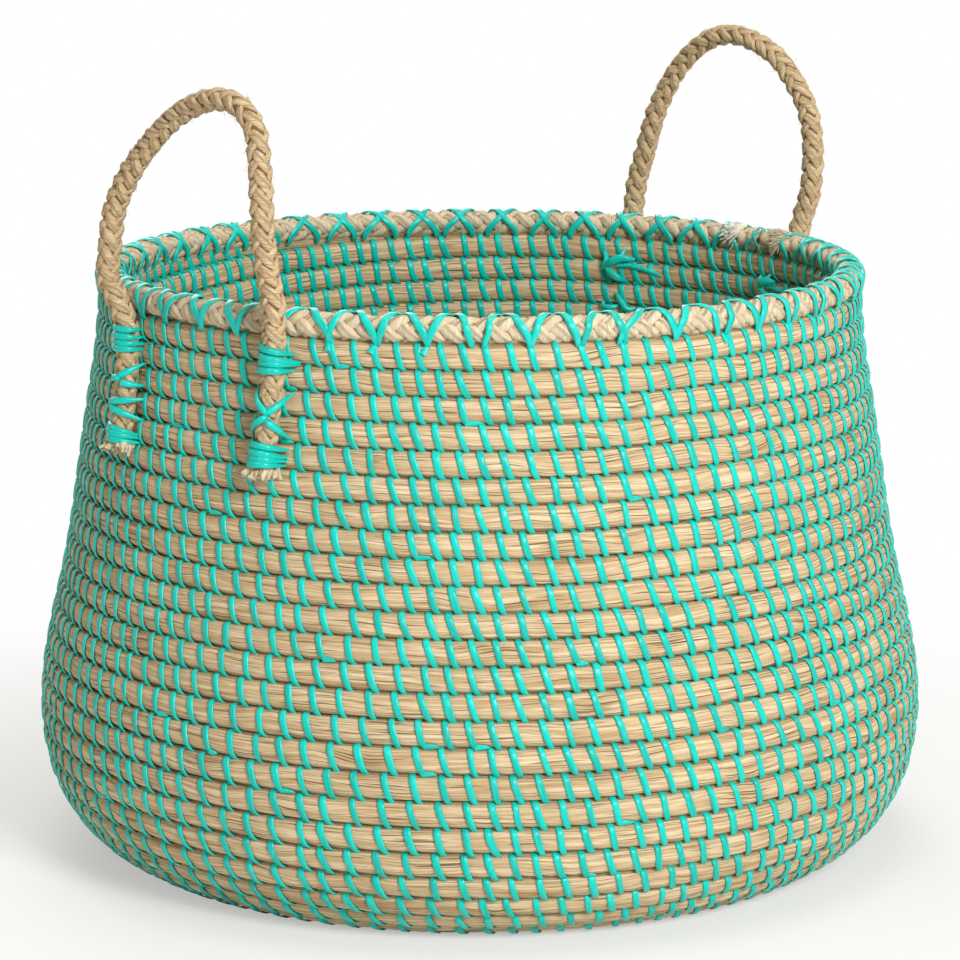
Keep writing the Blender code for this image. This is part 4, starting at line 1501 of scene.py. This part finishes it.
@dataclass
class Handle(Piecework):
    """A handle: one plaited rope, strapped down at its two legs and bent over between them.

    Attributes:
        side: The handle's name in the frame.
        legs: Its leg towards +Y and its leg towards -Y.
        ends_deg: Where the arch meets them.
        height: Of the arch above the line that it swings about.
        outline_shares: The arch's outline from the +Y leg on: shares of half its span and of its height.
        rim_out: From the rim rope's middle to the handle rope's, where it passes.
        rim_drop: How far below the line that it swings about the rope passes there.
        plait: The rope.
        bend_reach: Sets two points above and below the swing's line, which nothing uses; the rope is not
            bent.
        turned_deg: How far the rope is turned round at its two legs.
        frays: Fibres at each end of the rope: how many, how thick, how long and how blunt.
        loose: How many fibres stand off along the rope.
        seed: Starts the random numbers.
    """

    side: str
    legs: tuple[Leg, Leg]
    ends_deg: tuple[float, float]
    height: float
    outline_shares: tuple
    rim_out: float = 0.0131
    rim_drop: float = 0.0092
    plait: Plait = Plait(radius=0.0058)
    bend_reach: float = 0.013
    turned_deg: tuple[float, float] = (-69.0, 24.0)
    frays: tuple = ((90, 0.0022, 0.0046, 0.75), (150, 0.0005, 0.0056, 0.4))
    loose: int = 90
    seed: int = 31

    def __post_init__(self) -> None:
        """Look up the joint that the handle swings about, and lay the rope's middle."""
        self.pivot = next(joint for joint in frame["joints"] if joint["child"] == self.side)["pos_m"]
        self.path = self._line()
        self.tangent = unit(np.gradient(self.path, axis=0))
        middle = self.path[len(self.path) // 2]
        self.outward = unit(np.array([middle[0], middle[1], 0.0]))

    def _line(self) -> Array:
        """Return the rope's middle from one leg's end to the other's, in even steps."""
        pivot = np.array(self.pivot)
        half_span = math.radians(self.ends_deg[0] - self.ends_deg[1]) / 2
        radius = math.hypot(pivot[0], pivot[1]) / math.cos(half_span)
        ends = [polar(radius, end_deg, pivot[2]) for end_deg in self.ends_deg]
        half = (ends[1] - ends[0]) / 2
        across, rise = np.array(self.outline_shares).T[..., None]
        arch = pivot + half * across + rise * (0.0, 0.0, self.height)
        reach, height = self.route.mouth_radius + self.rim_out, pivot[2] - self.rim_drop
        rims = [
            polar(reach, (leg.azimuths_deg[0] + end_deg) / 2, height)
            for leg, end_deg in zip(self.legs, self.ends_deg)
        ]
        corners = np.vstack([self.legs[0].line(), rims[:1], arch, rims[1:], self.legs[1].line()[::-1]])
        return curve_through(corners, self.plait.step)

    def _fray(self, skin: Skin, end: int, way: int, rolled: np.random.Generator) -> None:
        """Let an end of the rope fray into a stub of yarns and finer fibres.

        Args:
            skin: The rope's skin.
            end: The place of the end in the rope's middle line.
            way: -1 where that line starts and 1 where it ends.
            rolled: Makes the random numbers.
        """
        down = self.tangent[end] * way
        flat = unit(np.cross(down, self.outward))
        for count, thickness, length, blunt in self.frays:
            spread = rolled.uniform(-1, 1, (count, 2)) * self.plait.radius * (1.0, 0.75)
            back = rolled.uniform(0.0010, 0.0026, (count, 1))
            aside, out = spread[:, :1] * flat, spread[:, 1:] * self.outward
            ways = down + self.outward * 0.4 + (aside + out) * 80
            fibres = Fibres(thickness, 1.3, tip_share=blunt, seed=self.seed + end)
            skin.add(*fibres.spray(self.path[end] + aside + out - back * down, ways, length, 0.16, 0.16))

    def _fluff(self, skin: Skin, rolled: np.random.Generator) -> None:
        """Let fibres stand off along the rope.

        Args:
            skin: The rope's skin.
            rolled: Makes the random numbers.
        """
        places = rolled.integers(5, len(self.path) - 5, self.loose)
        along = self.tangent[places]
        around = square_to(rolled.normal(0, 1, (self.loose, 3)), along)
        roots = self.path[places] + around * self.plait.radius * 0.93
        ways = along * rolled.choice([-1, 1], (self.loose, 1))
        ways = ways + around * rolled.uniform(0.15, 0.9, (self.loose, 1))
        skin.add(*Fibres(0.00022, seed=self.seed + 5).spray(roots, ways, 0.0045, 0.2, 0.25))

    def build(self) -> None:
        """Plait the rope, fray its ends, let fibres stand off it and strap its legs."""
        share = np.linspace(-1, 1, len(self.path))
        squeezed = self.legs[0].girth(self.path) * self.legs[1].girth(self.path)
        girth = squeezed * (1 - 0.10 * bell(share / 0.28))
        turned = np.radians(np.interp(share, [-0.45, 0.45], self.turned_deg))
        skin = Skin(f"{self.side}_plait")
        skin.add(*self.plait.strands(self.path, self.outward, girth, turned))
        rolled = np.random.default_rng(self.seed)
        for end, way in ((0, -1), (-1, 1)):
            self._fray(skin, end, way, rolled)
        self._fluff(skin, rolled)
        rope = skin.build(Slot.HANDLE_ROPE, self.finishes.handle_rope)
        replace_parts(rope, self.side, *(f"{leg.name}_leg" for leg in self.legs))
        pivot = self.pivot
        low = (pivot[0], pivot[1], pivot[2] - self.bend_reach)
        high = (pivot[0], pivot[1], pivot[2] + self.bend_reach)
        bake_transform(rope)
        for leg in self.legs:
            leg.bands()


@dataclass
class StrawEnds:
    """Blades of seagrass that work loose and stick out of the coil.

    Attributes:
        coil: The coil that they come from.
        count: How many there are.
        clear_deg: How far from the two ends of the wall's coil they stay.
        thickness: Of a blade.
        length: Of the longest.
        seed: Starts the random numbers.
    """

    coil: Coil
    count: int = 26
    clear_deg: float = 200.0
    thickness: float = 0.0010
    length: float = 0.009
    seed: int = 41

    def build(self) -> None:
        """Build the blades."""
        rolled = np.random.default_rng(self.seed)
        route = self.coil.route
        turned = rolled.uniform(self.clear_deg, 360 * route.courses - self.clear_deg, self.count)
        out = np.where(rolled.uniform(size=self.count) < 0.6, 1, -1) * self.coil.half_depth * 0.93
        up = rolled.uniform(-0.8, 0.8, self.count) * self.coil.half_height * 0.5
        roots = route.place(turned, out, up)
        ahead = unit(route.place(turned + 2.0, out, up) - roots)
        away = unit(route.place(turned, out * 2, up) - roots)
        ways = ahead * rolled.choice([-1, 1], (self.count, 1)) + away * 0.28
        skin = Skin("straw_ends")
        blades = Fibres(self.thickness, seed=self.seed)
        skin.add(*blades.spray(roots, ways, self.length, 0.05, 0.06))
        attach(skin.build(Slot.SEAGRASS, self.coil.finishes.seagrass), "basket")


@dataclass(frozen=True)
class Studio:
    """A white floor, soft lamps and the camera at the photograph's angle.

    Attributes:
        azimuth_deg: Where the camera stands.
        distance: From the basket's axis, level.
        height: Of the camera.
        tilt_deg: How far it looks down.
        lens: In millimetres.
        floor_size: Of the floor.
        floor_height: Of the floor, just below the basket's foot.
        aim_height: Of the place on the basket's axis that the lamps face.
        fade: How far from the axis the floor starts to turn white, and how far off it is white.
    """

    azimuth_deg: float = 223.35
    distance: float = 1.849
    height: float = 0.552
    tilt_deg: float = 11.5
    lens: float = 143.25
    floor_size: float = 30.0
    floor_height: float = -0.0002
    aim_height: float = 0.15
    fade: tuple[float, float] = (0.22, 0.55)

    @staticmethod
    def _stand(data: bpy.types.ID, place: Vector, way: Vector) -> bpy.types.Object:
        """Stand a camera or a lamp at a place, facing a way, and return it."""
        made = bpy.data.objects.new(data.name, data)
        made.location = place
        made.rotation_euler = way.to_track_quat("-Z", "Y").to_euler()
        bpy.context.scene.collection.objects.link(made)
        return made

    def camera(self) -> None:
        """Stand the camera."""
        data = bpy.data.cameras.new("camera")
        data.lens = self.lens
        data.sensor_width = 36.0
        data.clip_end = 60.0
        tilt = math.radians(self.tilt_deg)
        way = polar(-math.cos(tilt), self.azimuth_deg, -math.sin(tilt))
        place = polar(self.distance, self.azimuth_deg, self.height)
        bpy.context.scene.camera = self._stand(data, Vector(place), Vector(way))

    def lamp(
        self, name: str, turn_deg: float, distance: float, height: float, size: float, power: float
    ) -> None:
        """Hang a soft lamp that faces the basket.

        Args:
            name: Its name.
            turn_deg: Its azimuth, counted from the camera's, to the right as the camera sees it.
            distance: From the basket's axis, level.
            height: Above the floor.
            size: Of its square face.
            power: In watts.
        """
        data = bpy.data.lights.new(name, "AREA")
        data.shape = "SQUARE"
        data.size = size
        data.energy = power
        place = Vector(polar(distance, self.azimuth_deg + turn_deg, height))
        self._stand(data, place, Vector((0.0, 0.0, self.aim_height)) - place)

    def floor(self) -> None:
        """Lay the floor, which turns plain white away from the basket for the camera."""
        place = (0.0, 0.0, self.floor_height)
        bpy.ops.mesh.primitive_plane_add(size=self.floor_size, location=place)
        plane = bpy.context.active_object
        plane.name = "studio_floor"
        tree = Tree(bpy.data.materials.new("white_floor"))
        tree.set(Base_Color=(0.93, 0.93, 0.93), Roughness=0.9, Specular_IOR_Level=0.1)
        point = tree.add("ShaderNodeNewGeometry", {}, {}, "Position")
        from_axis = tree.add("ShaderNodeVectorMath", {"operation": "LENGTH"}, {0: point}, "Value")
        white = from_axis.between(*self.fade)
        glow = tree.add("ShaderNodeEmission", {}, {"Color": (1.0, 1.0, 1.0), "Strength": 1.0})
        tree.blend_shaders(tree.seen("Is Camera Ray") * (white * 0.55 + 0.45), glow, "Material Output")
        plane.data.materials.append(tree.owner)

    def build(self) -> None:
        """Set up the camera, the floor, the lamps and the sky."""
        self.camera()
        self.floor()
        self.lamp("key_lamp", turn_deg=26, distance=2.0, height=1.22, size=0.7, power=38)
        self.lamp("top_lamp", turn_deg=10, distance=0.2, height=2.3, size=1.2, power=15)
        self.lamp("back_lamp", turn_deg=196, distance=2.2, height=1.3, size=1.4, power=22)
        sky = Tree(bpy.data.worlds.new("sky"), "Background")
        sky.set(Color=(1.0, 0.90, 0.70), Strength=0.24)
        white = sky.add("ShaderNodeBackground", {}, {"Color": (1.0, 1.0, 1.0), "Strength": 1.0})
        seen = sky.seen("Is Camera Ray", "Is Glossy Ray", "Is Transmission Ray")
        sky.blend_shaders(seen, white, "World Output")
        bpy.context.scene.world = sky.owner
        bpy.context.scene.view_settings.view_transform = "Standard"


# The outlines of the handles' arches, as Handle.outline_shares.
LEFT_ARCH_SHARES = (
    (-1.0, 0.0), (-0.97, 0.16), (-0.93, 0.31), (-0.85, 0.43), (-0.68, 0.585), (-0.43, 0.74), (-0.13, 0.885),
    (0.17, 0.97), (0.44, 1.0), (0.66, 0.965), (0.80, 0.87), (0.855, 0.72), (0.875, 0.52), (0.91, 0.24),
    (1.0, 0.0),
)
RIGHT_ARCH_SHARES = (
    (-1.0, 0.0), (-0.965, 0.14), (-0.89, 0.27), (-0.81, 0.42), (-0.72, 0.56), (-0.56, 0.72), (-0.38, 0.85),
    (-0.12, 0.96), (0.16, 1.0), (0.46, 0.965), (0.72, 0.88), (0.93, 0.74), (1.07, 0.59), (1.12, 0.40),
    (1.10, 0.19), (1.0, 0.0),
)


def main() -> None:
    """Build the basket piece by piece, dress it and light it."""
    logging.basicConfig(level=logging.INFO, format="%(message)s")
    Studio().build()
    made_with = (Route(), Finishes())
    coil = Coil(*made_with)
    coil.build()
    StrawEnds(coil).build()
    Rim(*made_with).build()
    left = (
        Leg(
            *made_with, "left_handle_back", (164.4, 165.9), Lacing.CHEVRONS,
            upper_lefts=(0.6, 4.2, 7.6, 11.0), upper_rights=((4.9, 0.9), (5.7, 5.0), (5.9, 7.6), (5.1, 10.2)),
            lower_lefts=(46.2, 49.8, 53.2), lower_rights=((7.2, 50.2), (7.6, 51.8), (7.6, 53.6)),
            squeeze=((6.0, 6.0, 0.08), (25.0, 3.0, 0.14), (37.8, 3.0, 0.14), (50.5, 4.0, 0.08)),
        ),
        Leg(*made_with, "left_handle_front", (194.6, 193.8), Lacing.CROSS, seed=22),
    )
    right = (
        Leg(*made_with, "right_handle_back", (18.4, 18.4), Lacing.CROSS, seed=23),
        Leg(*made_with, "right_handle_front", (-14.6, -14.6), Lacing.CROSS, knot_share=0.7, seed=24),
    )
    Handle(*made_with, "left_handle", left, (160.9, 195.3), 0.0888, LEFT_ARCH_SHARES).build()
    Handle(*made_with, "right_handle", right, (18.4, -14.6), 0.0935, RIGHT_ARCH_SHARES, seed=36).build()


if __name__ == "__main__":
    main()
